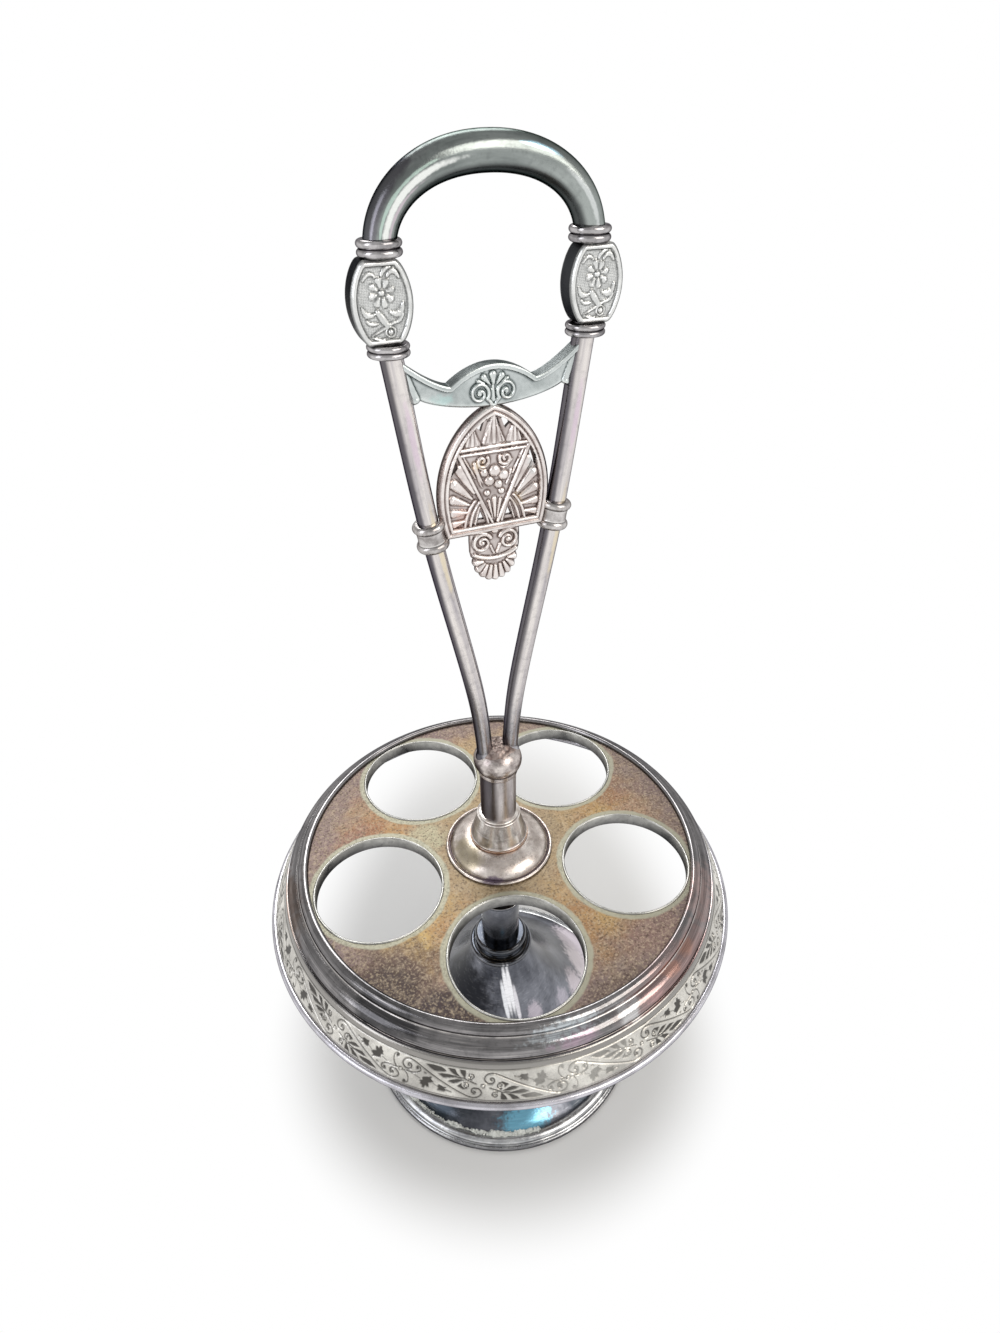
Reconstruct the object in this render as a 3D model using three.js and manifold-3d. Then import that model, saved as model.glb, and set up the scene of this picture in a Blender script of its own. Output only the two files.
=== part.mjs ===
// Revolving cruet stand: a trumpet foot carries a central journal, a round tray with five bottle
// holes turns on it, and a fixed handle of two rods, a pierced plaque and a round arch stands above.
// Millimetres, +Z up. The origin is on the table under the centre of the foot. The handle lies in
// the XZ plane and the front is towards -Y.
import * as THREE from "three";
import { mergeVertices } from "three/addons/utils/BufferGeometryUtils.js";
import Module from "manifold-3d";

const wasm = await Module();
wasm.setup();

const TAU = Math.PI * 2;
const MERGE_TOLERANCE = 1e-4;

// Clearances
const SEAM = 0.05; // soldered seam between two fixed pieces
const SOCKET_GAP = 0.3; // round a piece where its neighbour is cut to take it
const RUNNING_GAP = 0.1; // tray hub on its journal, on the radius
const THRUST_GAP = 0.1; // tray hub above the washer that carries it
const END_PLAY = 0.2; // boss below the clamping washer
const THREAD_GAP = 0.15; // plain stand-in for the spindle's threads and clearance holes

// Foot and bell
const FOOT_PROJECTION = 5.1; // of the foot ring past the bell
const FOOT_HEIGHT = 4.5;
const FOOT_BEAD_HEIGHT = 2.4;
const FOOT_QUIRK = 0.4; // step between the foot's two mouldings
const BELL_FOOT_RADIUS = 60.9;
const BELL_TOP = 64;
const BELL_NECK_RADIUS = 13.2;
const BELL_WALL = 1.2;
const BELL_STEPS = 9;
// Shares of the bell's width and height that shape its curve
const BELL_FOOT_RUN_SHARE = 0.25;
const BELL_FOOT_LIFT_SHARE = 0.054;
const BELL_NECK_FLARE_SHARE = 0.226;
const BELL_NECK_START_SHARE = 0.496;

// Pedestal above the bell
const PEDESTAL_COLLAR_HEIGHT = 8.5;
const PEDESTAL_LOWER_BEAD_RADIUS = 14.6;
const PEDESTAL_UPPER_BEAD_RADIUS = 12;
const PEDESTAL_BEAD_HEIGHT = 3;
const PEDESTAL_COVE_HEIGHT = 1.3;
const COLUMN_RADIUS = 8.6;
const COLUMN_WALL = 1.4;
const COLUMN_LENGTH = 27.5;

// Spindle, journal and washers
const SPINDLE_RADIUS = 3.2;
const SPINDLE_TAIL = 3.5; // below the nut
const SPINDLE_IN_STEM = 14;
const NUT_ACROSS_FLATS = 12;
const NUT_HEIGHT = 5;
const JOURNAL_RADIUS = 6;
const HUB_WALL = 2.5;
const HUB_FLANGE_RADIUS = 14;
const WASHER_THICKNESS = 1.2;
const BELL_WASHER_RADIUS = 9.5;
const BEARING_WASHER_RADIUS = 10.2;
const CLAMPING_WASHER_RADIUS = 12;
const CLAMPING_WASHER_THICKNESS = 0.8;

// Tray plate and bottle holes
const TRAY_TOP = 133;
const TRAY_THICKNESS = 1.2;
const HOLE_COUNT = 5;
const HOLE_RADIUS = 25;
const HOLE_TO_BOSS = 4.6; // flat of the plate between a hole's collar and the boss
const HOLE_TO_EDGE = 1.2; // flat of the plate between a hole's collar and the rim
const FIRST_HOLE_ANGLE = THREE.MathUtils.degToRad(-104.7);
const HOLE_COLLAR_WALL = 1;
const HOLE_COLLAR_DEPTH = 5;
const HOLE_COLLAR_RISE = 0.45;

// Drum: stepped moulding, engraved band and lip wire
const RIM_LAP = 1; // moulding foot on the plate
const RIM_CREST = 1.9; // above the plate
const RIM_CREST_WIDTH = 1.2; // from the moulding's foot to its highest line
const RIM_CREST_FROM = 150; // degrees, where the inner roll starts
const RIM_WALL = 1.1;
const BEAD_WIDTH = 3;
const BEAD_HEIGHT = 2.7;
const OVOLO_WIDTH = 4.6;
const OVOLO_HEIGHT = 4.5;
const RIM_STEP = 0.4;
const RIM_STEP_DROP = 0.7;
const RIM_LIP = 0.7;
const RIM_LIP_HEIGHT = 1.2;
const BAND_HEIGHT = 13.25;
const BAND_SPREAD = 6.7;
const BAND_BULGE = 0.35;
const BAND_WALL = 1.2;
const LIP_WIRE_RADIUS = 1.6;
const LIP_WIRE_SIDES = 6;

// Boss in the middle of the tray
const BOSS_RADIUS = 22.2;
const BOSS_HEIGHT = 7;
const BOSS_CROWN_RADIUS = 11.8;
const BOSS_BEAD_HEIGHT = 1.9;
const BOSS_WALL = 1;
const BOSS_DOME_FROM = 15; // degrees, where the dome leaves the trough behind the bead

// Stem and knop
const STEM_RADIUS = 7.1;
const STEM_LENGTH = 27.6;
const STEM_COLLAR_RADIUS = 11.7;
const STEM_COLLAR_HEIGHT = 5.2;
const STEM_COLLAR_TOP_RADIUS = 8.4;
const STEM_COLLAR_LIP = 0.6;
const STEM_COLLAR_FILLET = 0.65;
const STEM_COLLAR_HOLLOW_SHARE = 0.4; // of the flare that is left half way up
const KNOP_RADIUS = 9.3;
const KNOP_HEIGHT = 14;
const KNOP_SWEEP = 60; // degrees of its round side above and below the middle

// Handle rods
const ROD_RADIUS = 3.2;
const ROD_FOOT_SPREAD = 4.6;
const ROD_BEND_SPREAD = 7.3;
const ROD_BEND_RISE = 30; // above the middle of the knop
const CLAMP_SPREAD = 20.3;
const CLAMP_RISE = 99.2; // middle of the clamps above the middle of the knop
const CLAMP_LENGTH = 9.2;
const CLAMP_RADIUS = 5.1;
const CLAMP_WAIST_RADIUS = 4.3;
const CLAMP_BEAD_RADIUS = 1.5;
const CLAMP_FILLET = 0.6;

// Ferrules, cartouches and arch
const HANDLE_SPREAD = 28.2; // upright axis of the ferrules
const FERRULE_ABOVE_YOKE = 3.6; // foot of the lower ferrules above the yoke's crest
const LOWER_FERRULE_HEIGHT = 3.3;
const UPPER_FERRULE_HEIGHT = 4;
const FERRULE_RADIUS = 5.7;
const FERRULE_BEAD_SWEEP = 75; // degrees each bead turns towards the other
const CARTOUCHE_HEIGHT = 19.6;
const CARTOUCHE_WIDTH = 16;
const CARTOUCHE_END_WIDTH = 11;
const CARTOUCHE_DEPTH = 7.6;
const CARTOUCHE_SHIFT = 1.2; // outwards from the ferrules
const CARTOUCHE_BORDER = 1.2;
const CARTOUCHE_RECESS = 0.5;
const ARCH_RISE = 19.9;
const ARCH_SQUARENESS = 2.14;
const ARCH_CROWN_RADIUS = 4.95;
const ARCH_END_RADIUS = 4.1;

// Yoke between the ferrules
const YOKE_LAP = 1; // the plaque's point inside the yoke
const YOKE_DEPTH = 3.2;
const YOKE_FLANGE_DEPTH = 4.8;
const YOKE_FLANGE_THICKNESS = 1.3;
const YOKE_CREST_DROP = 5.6; // crest to the valleys on either side
const YOKE_VALLEY_SPREAD = 13.6;
const YOKE_THICKNESS = 12.8; // crest to the underside
const YOKE_WING_INSET = 2.4; // top of the wing to the upright axis of the ferrule
const YOKE_EDGE_STEPS = 3;
// Underside from the rod inwards, as shares of the half span and of the thickness
const YOKE_UNDERSIDE_SHARES = [[1, 0.35], [0.8, 0.35], [0.74, 0.45], [0.62, 0.18], [0.43, 0.03], [0, 0]];

// Pierced plaque and its pendant
const PLAQUE_BELOW_CLAMP = 3.4; // its base below the middle of the clamps
const PLAQUE_HEIGHT = 40.6;
const PLAQUE_HALF_WIDTH = 17.8;
const PLAQUE_SHOULDER = 12.2; // widest level above the base
const PLAQUE_BASE_HALF_WIDTH = 16;
// Shares of the width, and of the height above the shoulder, that shape the pointed top
const PLAQUE_HAUNCH_SHARE = 0.5;
const PLAQUE_POINT_WIDTH_SHARE = 0.53;
const PLAQUE_POINT_DROP_SHARE = 0.1;
const PLAQUE_FIELD_DEPTH = 1.8;
const PLAQUE_EDGE_DEPTH = 1.2;
const PLAQUE_FRAME_DEPTH = 4.2;
const PLAQUE_FRAME_WIDTH = 3.3;
const PLAQUE_BEVEL = 2;
const PLAQUE_BAR_DEPTH = 2.8;
const PLAQUE_BAR_WIDTH = 1.5;
const PLAQUE_BAR_RISE = 28.2; // level bar above the base
const PLAQUE_BAR_HALF_LENGTH = 11.8;
const PLAQUE_FUNNEL_FOOT = 3.7; // where the slanting bars meet, above the base
const PLAQUE_FUNNEL_WIDTH = 1.2;
const PENDANT_DROP = 8.2; // middle of the fan below the base
const PENDANT_RADIUS = 8.2;
const PENDANT_LOBES = 9;
const PENDANT_LOBE_RELIEF = 0.5;
const PENDANT_LOBE_STEPS = 4;
const PENDANT_SWEEP = THREE.MathUtils.degToRad(209);
const PENDANT_ROOT_HALF_WIDTH = 7.8;
const PENDANT_DEPTH = 2.6;

// Facets round each kind of turned piece
const DRUM_FACETS = 48;
const FOOT_FACETS = 40;
const HOLE_FACETS = 24;
const BOSS_FACETS = 32;
const SMALL_FACETS = 24;
const ROD_FACETS = 12;
const ROD_STEPS = 10;
const ARCH_FACETS = 12;
const ARCH_STEPS = 20;
const CURVE_SEGMENTS = 6;

// Radii that follow from the sizes above
const FOOT_RADIUS = BELL_FOOT_RADIUS + FOOT_PROJECTION;
const SPINDLE_HOLE_RADIUS = SPINDLE_RADIUS + THREAD_GAP;
const HUB_RADIUS = JOURNAL_RADIUS + RUNNING_GAP + HUB_WALL;
const HOLE_COLLAR_RADIUS = HOLE_RADIUS + HOLE_COLLAR_WALL;
const HOLE_PITCH_RADIUS = BOSS_RADIUS + HOLE_TO_BOSS + HOLE_COLLAR_RADIUS;
const TRAY_RADIUS = HOLE_PITCH_RADIUS + HOLE_COLLAR_RADIUS + HOLE_TO_EDGE;
const RIM_FOOT_RADIUS = TRAY_RADIUS - RIM_LAP;

// Levels that follow from the sizes above, from the table upwards
const PEDESTAL_COLLAR_BOTTOM = BELL_TOP + SEAM;
const PEDESTAL_COLLAR_TOP = PEDESTAL_COLLAR_BOTTOM + PEDESTAL_COLLAR_HEIGHT;
const COLUMN_BOTTOM = PEDESTAL_COLLAR_TOP + SEAM;
const COLUMN_TOP = COLUMN_BOTTOM + COLUMN_LENGTH;
const BEARING_WASHER_BOTTOM = COLUMN_TOP + SEAM;
const BEARING_WASHER_TOP = BEARING_WASHER_BOTTOM + WASHER_THICKNESS;
const BELL_WASHER_TOP = BELL_TOP - BELL_WALL - SEAM;
const NUT_TOP = BELL_WASHER_TOP - WASHER_THICKNESS - SEAM;
const NUT_BOTTOM = NUT_TOP - NUT_HEIGHT;
const TRAY_UNDERSIDE = TRAY_TOP - TRAY_THICKNESS;
const BOSS_TOP = TRAY_TOP + BOSS_HEIGHT;
const CLAMPING_WASHER_BOTTOM = BOSS_TOP + END_PLAY;
const CLAMPING_WASHER_TOP = CLAMPING_WASHER_BOTTOM + CLAMPING_WASHER_THICKNESS;
const STEM_COLLAR_BOTTOM = CLAMPING_WASHER_TOP + SEAM;
const STEM_COLLAR_TOP = STEM_COLLAR_BOTTOM + STEM_COLLAR_HEIGHT;
const STEM_BOTTOM = STEM_COLLAR_TOP + SEAM;
const STEM_TOP = STEM_BOTTOM + STEM_LENGTH;
const SPINDLE_TOP = STEM_BOTTOM + SPINDLE_IN_STEM;
const KNOP_BOTTOM = STEM_TOP + SEAM;
const KNOP_MIDDLE = KNOP_BOTTOM + KNOP_HEIGHT / 2;
const CLAMP_LEVEL = KNOP_MIDDLE + CLAMP_RISE;
const PLAQUE_BASE = CLAMP_LEVEL - PLAQUE_BELOW_CLAMP;
const PLAQUE_TOP = PLAQUE_BASE + PLAQUE_HEIGHT;
const YOKE_CREST = PLAQUE_TOP - YOKE_LAP + YOKE_THICKNESS;
const LOWER_FERRULE_BOTTOM = YOKE_CREST + FERRULE_ABOVE_YOKE;
const CARTOUCHE_BOTTOM = LOWER_FERRULE_BOTTOM + LOWER_FERRULE_HEIGHT + SEAM;
const CARTOUCHE_TOP = CARTOUCHE_BOTTOM + CARTOUCHE_HEIGHT;
const UPPER_FERRULE_BOTTOM = CARTOUCHE_TOP + SEAM;
const ARCH_SPRING = CARTOUCHE_TOP + SOCKET_GAP;

// Finishes as seen in daylight
const FINISHES = {
  dark_silver: { color: 0x4e4d51, roughness: 0.22, metalness: 1 },
  frosted_silver: { color: 0xcbc8bb, roughness: 0.5, metalness: 1 },
  warm_silver: { color: 0xa79f9b, roughness: 0.25, metalness: 1 },
  tarnished_silver: { color: 0x9a7a5a, roughness: 0.5, metalness: 0.9 },
  cast_silver: { color: 0xb9aca4, roughness: 0.4, metalness: 1 },
  gunmetal_silver: { color: 0x6d7272, roughness: 0.2, metalness: 1 },
  rod_silver: { color: 0x8b888c, roughness: 0.25, metalness: 1 },
  copper: { color: 0xb4794e, roughness: 0.35, metalness: 1 },
  steel: { color: 0x77777a, roughness: 0.4, metalness: 1 },
};

// Geometry to solid and back

/** Gives the boolean kernel a closed geometry as a solid with its faces pointing out. */
function solidOf(geometry) {
  const bare = geometry.clone();
  bare.deleteAttribute("normal");
  bare.deleteAttribute("uv");
  const merged = mergeVertices(bare, MERGE_TOLERANCE);
  const places = merged.getAttribute("position");
  const corners = [0, 1, 2].map(() => new THREE.Vector3());
  const faces = [];
  let volume = 0;
  const source = merged.getIndex().array;
  for (let i = 0; i < source.length; i += 3) {
    const [a, b, c] = [source[i], source[i + 1], source[i + 2]];
    if (a === b || b === c || c === a) continue;
    [a, b, c].forEach((corner, k) => corners[k].fromBufferAttribute(places, corner));
    volume += corners[0].dot(corners[1].clone().cross(corners[2]));
    faces.push([a, b, c]);
  }
  const outward = volume < 0 ? faces.map(([a, b, c]) => [a, c, b]) : faces;
  return new wasm.Manifold(
    new wasm.Mesh({
      numProp: 3,
      vertProperties: new Float32Array(places.array),
      triVerts: new Uint32Array(outward.flat()),
    }),
  );
}

/** Turns a solid back into a geometry that a mesh can hold. */
function geometryOf(solid) {
  const mesh = solid.getMesh();
  const geometry = new THREE.BufferGeometry();
  geometry.setAttribute("position", new THREE.Float32BufferAttribute(mesh.vertProperties, mesh.numProp));
  geometry.setIndex(new THREE.Uint32BufferAttribute(mesh.triVerts, 1));
  geometry.computeVertexNormals();
  return geometry;
}

/** Makes the named mesh of a solid in one of the finishes. */
function piece(name, solid, finish) {
  const mesh = new THREE.Mesh(geometryOf(solid), new THREE.MeshStandardMaterial(FINISHES[finish]));
  mesh.name = name;
  return mesh;
}

// Shapes that several pieces share

/** Points of an elliptic arc in a profile, angles in degrees from the outward direction. */
function arc(radius, height, wide, tall, from, to, steps) {
  return Array.from({ length: steps + 1 }, (_, i) => {
    const angle = THREE.MathUtils.degToRad(from + ((to - from) * i) / steps);
    return [radius + wide * Math.cos(angle), height + tall * Math.sin(angle)];
  });
}

/** Turns an outline of [radius, height] points about the upright axis and closes it on itself. */
function turned(profile, facets) {
  const outline = profile.map(([radius, height]) => new THREE.Vector2(radius, height));
  if (outline[0].x > 0 || outline.at(-1).x > 0) outline.push(outline[0].clone());
  const geometry = new THREE.LatheGeometry(outline, facets);
  geometry.rotateX(Math.PI / 2);
  return solidOf(geometry);
}

/** A plain ring with flat ends. */
function ring(inner, outer, bottom, top, facets) {
  return turned([[inner, bottom], [outer, bottom], [outer, top], [inner, top]], facets);
}

/** A solid plug with flat ends. */
function plug(radius, bottom, top, facets) {
  return turned([[0, bottom], [radius, bottom], [radius, top], [0, top]], facets);
}

/** A round rod along a curve in the XZ plane, with its radius given along the way. */
function bar(curve, radiusAt, steps, sides) {
  const places = [];
  const faces = [];
  for (let i = 0; i <= steps; i += 1) {
    const centre = curve.getPointAt(i / steps);
    const along = curve.getTangentAt(i / steps);
    const across = new THREE.Vector3(-along.z, 0, along.x);
    const radius = radiusAt(i / steps);
    for (let k = 0; k < sides; k += 1) {
      const angle = (k / sides) * TAU;
      const place = centre.clone().addScaledVector(across, radius * Math.cos(angle));
      places.push(place.x, radius * Math.sin(angle), place.z);
    }
  }
  for (let i = 0; i < steps; i += 1) {
    for (let k = 0; k < sides; k += 1) {
      const [a, b] = [i * sides + k, i * sides + ((k + 1) % sides)];
      faces.push(a, b, b + sides, a, b + sides, a + sides);
    }
  }
  const last = steps * sides;
  for (let k = 1; k < sides - 1; k += 1) {
    faces.push(0, k + 1, k, last, last + k, last + k + 1);
  }
  const geometry = new THREE.BufferGeometry();
  geometry.setAttribute("position", new THREE.Float32BufferAttribute(places, 3));
  geometry.setIndex(faces);
  return solidOf(geometry);
}

/** A flat shape drawn in X and Z, made a slab of the given depth about the XZ plane. */
function slab(shape, depth) {
  const geometry = new THREE.ExtrudeGeometry(shape, {
    depth,
    bevelEnabled: false,
    curveSegments: CURVE_SEGMENTS,
  });
  geometry.rotateX(Math.PI / 2);
  geometry.translate(0, depth / 2, 0);
  return solidOf(geometry);
}

/** A slab whose edge stands out past the flat faces by bevel, where it is only as thick as edge. */
function bevelled(shape, edge, depth, bevel) {
  const geometry = new THREE.ExtrudeGeometry(shape, {
    depth: edge,
    bevelThickness: (depth - edge) / 2,
    bevelSize: bevel,
    bevelSegments: 1,
    curveSegments: CURVE_SEGMENTS,
  });
  geometry.rotateX(Math.PI / 2);
  geometry.translate(0, edge / 2, 0);
  return solidOf(geometry);
}

/** A straight-sided shape from its corners. */
function polygon(corners) {
  return new THREE.Shape(corners.map(([x, z]) => new THREE.Vector2(x, z)));
}

/** The same corners on the other side of the middle line, still anticlockwise. */
function mirrored(corners) {
  return corners.map(([x, z]) => [-x, z]).reverse();
}

/** A slab bar from one point to another. */
function strip(from, to, width, depth) {
  const start = new THREE.Vector2(...from);
  const end = new THREE.Vector2(...to);
  const side = end.clone().sub(start).normalize().multiplyScalar(width / 2);
  const across = new THREE.Vector2(-side.y, side.x);
  const corners = [
    start.clone().sub(across),
    end.clone().sub(across),
    end.clone().add(across),
    start.clone().add(across),
  ];
  return slab(new THREE.Shape(corners), depth);
}

// Foot, bell and pedestal

function footRing() {
  const land = BELL_FOOT_RADIUS + SEAM;
  const inner = BELL_FOOT_RADIUS - BELL_WALL;
  const bead = FOOT_BEAD_HEIGHT / 2;
  const cove = FOOT_HEIGHT - FOOT_BEAD_HEIGHT;
  const coveWidth = FOOT_RADIUS - FOOT_QUIRK - bead - land;
  return turned(
    [
      [inner, 0],
      ...arc(FOOT_RADIUS - bead, bead, bead, bead, -90, 90, 4),
      ...arc(land, FOOT_BEAD_HEIGHT, coveWidth, cove, 0, 90, 3),
      [inner, FOOT_HEIGHT],
    ],
    FOOT_FACETS,
  );
}

/** The trumpet curve of the bell's outside, from the foot to the neck. */
function bellCurve() {
  const drop = BELL_FOOT_RADIUS - BELL_NECK_RADIUS;
  const rise = BELL_TOP - FOOT_HEIGHT;
  return new THREE.CubicBezierCurve(
    new THREE.Vector2(BELL_FOOT_RADIUS, FOOT_HEIGHT + SEAM),
    new THREE.Vector2(
      BELL_FOOT_RADIUS - drop * BELL_FOOT_RUN_SHARE,
      FOOT_HEIGHT + rise * BELL_FOOT_LIFT_SHARE,
    ),
    new THREE.Vector2(
      BELL_NECK_RADIUS + drop * BELL_NECK_FLARE_SHARE,
      FOOT_HEIGHT + rise * BELL_NECK_START_SHARE,
    ),
    new THREE.Vector2(BELL_NECK_RADIUS, BELL_TOP),
  );
}

function footBell() {
  const curve = bellCurve();
  const floor = FOOT_HEIGHT + SEAM;
  const ceiling = BELL_TOP - BELL_WALL;
  const outer = [];
  const inner = [];
  for (let i = 0; i <= BELL_STEPS; i += 1) {
    const place = curve.getPointAt(i / BELL_STEPS);
    const along = curve.getTangentAt(i / BELL_STEPS);
    outer.push([place.x, place.y]);
    const inside = [place.x - along.y * BELL_WALL, place.y + along.x * BELL_WALL];
    if (inside[1] > floor && inside[1] < ceiling) inner.push(inside);
  }
  const [first, second] = inner;
  const slope = (first[0] - second[0]) / (first[1] - second[1]);
  const floorRadius = first[0] + slope * (floor - first[1]);
  const ceilingRadius = inner.at(-1)[0];
  return turned(
    [
      [floorRadius, floor],
      ...outer,
      [SPINDLE_HOLE_RADIUS, BELL_TOP],
      [SPINDLE_HOLE_RADIUS, ceiling],
      [ceilingRadius, ceiling],
      ...inner.reverse(),
    ],
    FOOT_FACETS,
  );
}

function pedestalCollar() {
  const bead = PEDESTAL_BEAD_HEIGHT / 2;
  const lower = PEDESTAL_LOWER_BEAD_RADIUS - bead;
  const neck = PEDESTAL_UPPER_BEAD_RADIUS - bead;
  return turned(
    [
      [SPINDLE_HOLE_RADIUS, PEDESTAL_COLLAR_BOTTOM],
      ...arc(lower, PEDESTAL_COLLAR_BOTTOM + bead, bead, bead, -90, 90, 4),
      [neck, PEDESTAL_COLLAR_BOTTOM + PEDESTAL_BEAD_HEIGHT + PEDESTAL_COVE_HEIGHT],
      ...arc(neck, PEDESTAL_COLLAR_TOP - bead, bead, bead, -90, 90, 4),
      [SPINDLE_HOLE_RADIUS, PEDESTAL_COLLAR_TOP],
    ],
    SMALL_FACETS,
  );
}

function pedestalColumn() {
  return ring(COLUMN_RADIUS - COLUMN_WALL, COLUMN_RADIUS, COLUMN_BOTTOM, COLUMN_TOP, SMALL_FACETS);
}

function bearingWasher() {
  const bottom = BEARING_WASHER_BOTTOM;
  return ring(SPINDLE_HOLE_RADIUS, BEARING_WASHER_RADIUS, bottom, BEARING_WASHER_TOP, SMALL_FACETS);
}

function journal() {
  const bottom = BEARING_WASHER_TOP + SEAM;
  const top = CLAMPING_WASHER_BOTTOM - SEAM;
  return ring(SPINDLE_HOLE_RADIUS, JOURNAL_RADIUS, bottom, top, SMALL_FACETS);
}

function clampingWasher() {
  const bottom = CLAMPING_WASHER_BOTTOM;
  return ring(SPINDLE_HOLE_RADIUS, CLAMPING_WASHER_RADIUS, bottom, CLAMPING_WASHER_TOP, SMALL_FACETS);
}

function spindle() {
  return plug(SPINDLE_RADIUS, NUT_BOTTOM - SPINDLE_TAIL, SPINDLE_TOP, SMALL_FACETS);
}

function bellWasher() {
  const bottom = BELL_WASHER_TOP - WASHER_THICKNESS;
  return ring(SPINDLE_HOLE_RADIUS, BELL_WASHER_RADIUS, bottom, BELL_WASHER_TOP, SMALL_FACETS);
}

function spindleNut() {
  const corner = NUT_ACROSS_FLATS / Math.sqrt(3);
  const hexagon = plug(corner, NUT_BOTTOM, NUT_TOP, 6);
  const past = NUT_HEIGHT;
  return hexagon.subtract(plug(SPINDLE_HOLE_RADIUS, NUT_BOTTOM - past, NUT_TOP + past, SMALL_FACETS));
}

// Revolving tray

/** Middle of a bottle hole, seen from above. */
function holeCentre(index) {
  const angle = FIRST_HOLE_ANGLE + (index * TAU) / HOLE_COUNT;
  return [HOLE_PITCH_RADIUS * Math.cos(angle), HOLE_PITCH_RADIUS * Math.sin(angle)];
}

function trayPlate() {
  let plate = ring(HUB_RADIUS + SEAM, TRAY_RADIUS, TRAY_UNDERSIDE, TRAY_TOP, DRUM_FACETS);
  const past = TRAY_THICKNESS;
  const radius = HOLE_COLLAR_RADIUS + SEAM;
  for (let i = 0; i < HOLE_COUNT; i += 1) {
    const [x, y] = holeCentre(i);
    const cutter = plug(radius, TRAY_UNDERSIDE - past, TRAY_TOP + past, HOLE_FACETS);
    plate = plate.subtract(cutter.translate([x, y, 0]));
  }
  return plate;
}

function holeCollar(index) {
  const [x, y] = holeCentre(index);
  const half = HOLE_COLLAR_WALL / 2;
  const top = TRAY_TOP + HOLE_COLLAR_RISE;
  const bottom = TRAY_TOP - HOLE_COLLAR_DEPTH;
  return turned(
    [
      [HOLE_RADIUS, bottom],
      [HOLE_COLLAR_RADIUS, bottom],
      ...arc(HOLE_RADIUS + half, top - half, half, half, 0, 180, 2),
    ],
    HOLE_FACETS,
  ).translate([x, y, 0]);
}

function hubSleeve() {
  const inner = JOURNAL_RADIUS + RUNNING_GAP;
  const bottom = BEARING_WASHER_TOP + THRUST_GAP;
  const top = BOSS_TOP - BOSS_WALL - SEAM;
  const flangeTop = TRAY_UNDERSIDE - SEAM;
  const flangeBottom = flangeTop - TRAY_THICKNESS;
  return turned(
    [
      [inner, bottom],
      [HUB_RADIUS, bottom],
      [HUB_RADIUS, flangeBottom],
      [HUB_FLANGE_RADIUS, flangeBottom],
      [HUB_FLANGE_RADIUS, flangeTop],
      [HUB_RADIUS, flangeTop],
      [HUB_RADIUS, top],
      [inner, top],
    ],
    SMALL_FACETS,
  );
}

function trayBoss() {
  const foot = TRAY_TOP + SEAM;
  const bead = BOSS_BEAD_HEIGHT / 2;
  const domeFoot = BOSS_RADIUS - bead * 2;
  const domeRise = BOSS_TOP - foot - bead;
  const domeWidth = domeFoot - BOSS_CROWN_RADIUS;
  const inner = JOURNAL_RADIUS + RUNNING_GAP + END_PLAY;
  return turned(
    [
      [domeFoot - BOSS_WALL, foot],
      ...arc(BOSS_RADIUS - bead, foot + bead, bead, bead, -90, 90, 4),
      ...arc(BOSS_CROWN_RADIUS, foot + bead, domeWidth, domeRise, BOSS_DOME_FROM, 90, 4),
      [inner, BOSS_TOP],
      [inner, BOSS_TOP - BOSS_WALL],
      ...arc(BOSS_CROWN_RADIUS, foot + bead, domeWidth - BOSS_WALL, domeRise - BOSS_WALL, 90, 0, 3),
    ],
    BOSS_FACETS,
  );
}

/** Level of the moulding's lower edge, where the engraved band starts. */
function rimBottom() {
  const beadBottom = TRAY_TOP + RIM_CREST - BEAD_HEIGHT;
  return beadBottom - RIM_STEP_DROP - OVOLO_HEIGHT - RIM_LIP_HEIGHT;
}

/** Outer radius of the moulding's lower edge. */
function rimEdgeRadius() {
  return RIM_FOOT_RADIUS + RIM_CREST_WIDTH + BEAD_WIDTH + RIM_STEP + OVOLO_WIDTH;
}

function rimMoulding() {
  const foot = TRAY_TOP + SEAM;
  const crestRadius = RIM_FOOT_RADIUS + RIM_CREST_WIDTH;
  const crest = TRAY_TOP + RIM_CREST;
  const beadLevel = crest - BEAD_HEIGHT;
  const ovoloRadius = crestRadius + BEAD_WIDTH + RIM_STEP;
  const ovoloLevel = beadLevel - RIM_STEP_DROP - OVOLO_HEIGHT;
  const edge = rimEdgeRadius();
  const bottom = rimBottom();
  return turned(
    [
      [RIM_FOOT_RADIUS, foot],
      ...arc(crestRadius, foot, RIM_CREST_WIDTH, crest - foot, RIM_CREST_FROM, 90, 2),
      ...arc(crestRadius, beadLevel, BEAD_WIDTH, BEAD_HEIGHT, 90, 0, 4).slice(1),
      ...arc(ovoloRadius, ovoloLevel, OVOLO_WIDTH, OVOLO_HEIGHT, 90, 0, 4),
      [edge + RIM_LIP, ovoloLevel - RIM_LIP_HEIGHT / 3],
      [edge + RIM_LIP / 3, bottom + RIM_LIP_HEIGHT / 6],
      [edge + RIM_LIP / 3, bottom],
      [edge - RIM_WALL, bottom],
      ...arc(ovoloRadius, ovoloLevel, OVOLO_WIDTH - RIM_WALL, OVOLO_HEIGHT - RIM_WALL, 0, 90, 2),
      ...arc(crestRadius, beadLevel, BEAD_WIDTH - RIM_WALL, BEAD_HEIGHT - RIM_WALL, 0, 90, 2),
      [TRAY_RADIUS, foot],
    ],
    DRUM_FACETS,
  );
}

/** Outer profile of the engraved band, top to bottom, moved inwards by inset. */
function bandSide(inset, steps) {
  const top = rimBottom() - SEAM;
  const radius = rimEdgeRadius() + RIM_LIP;
  return Array.from({ length: steps + 1 }, (_, i) => {
    const share = i / steps;
    const bulge = BAND_BULGE * Math.sin(Math.PI * share);
    return [radius + BAND_SPREAD * share + bulge - inset, top - BAND_HEIGHT * share];
  });
}

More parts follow.
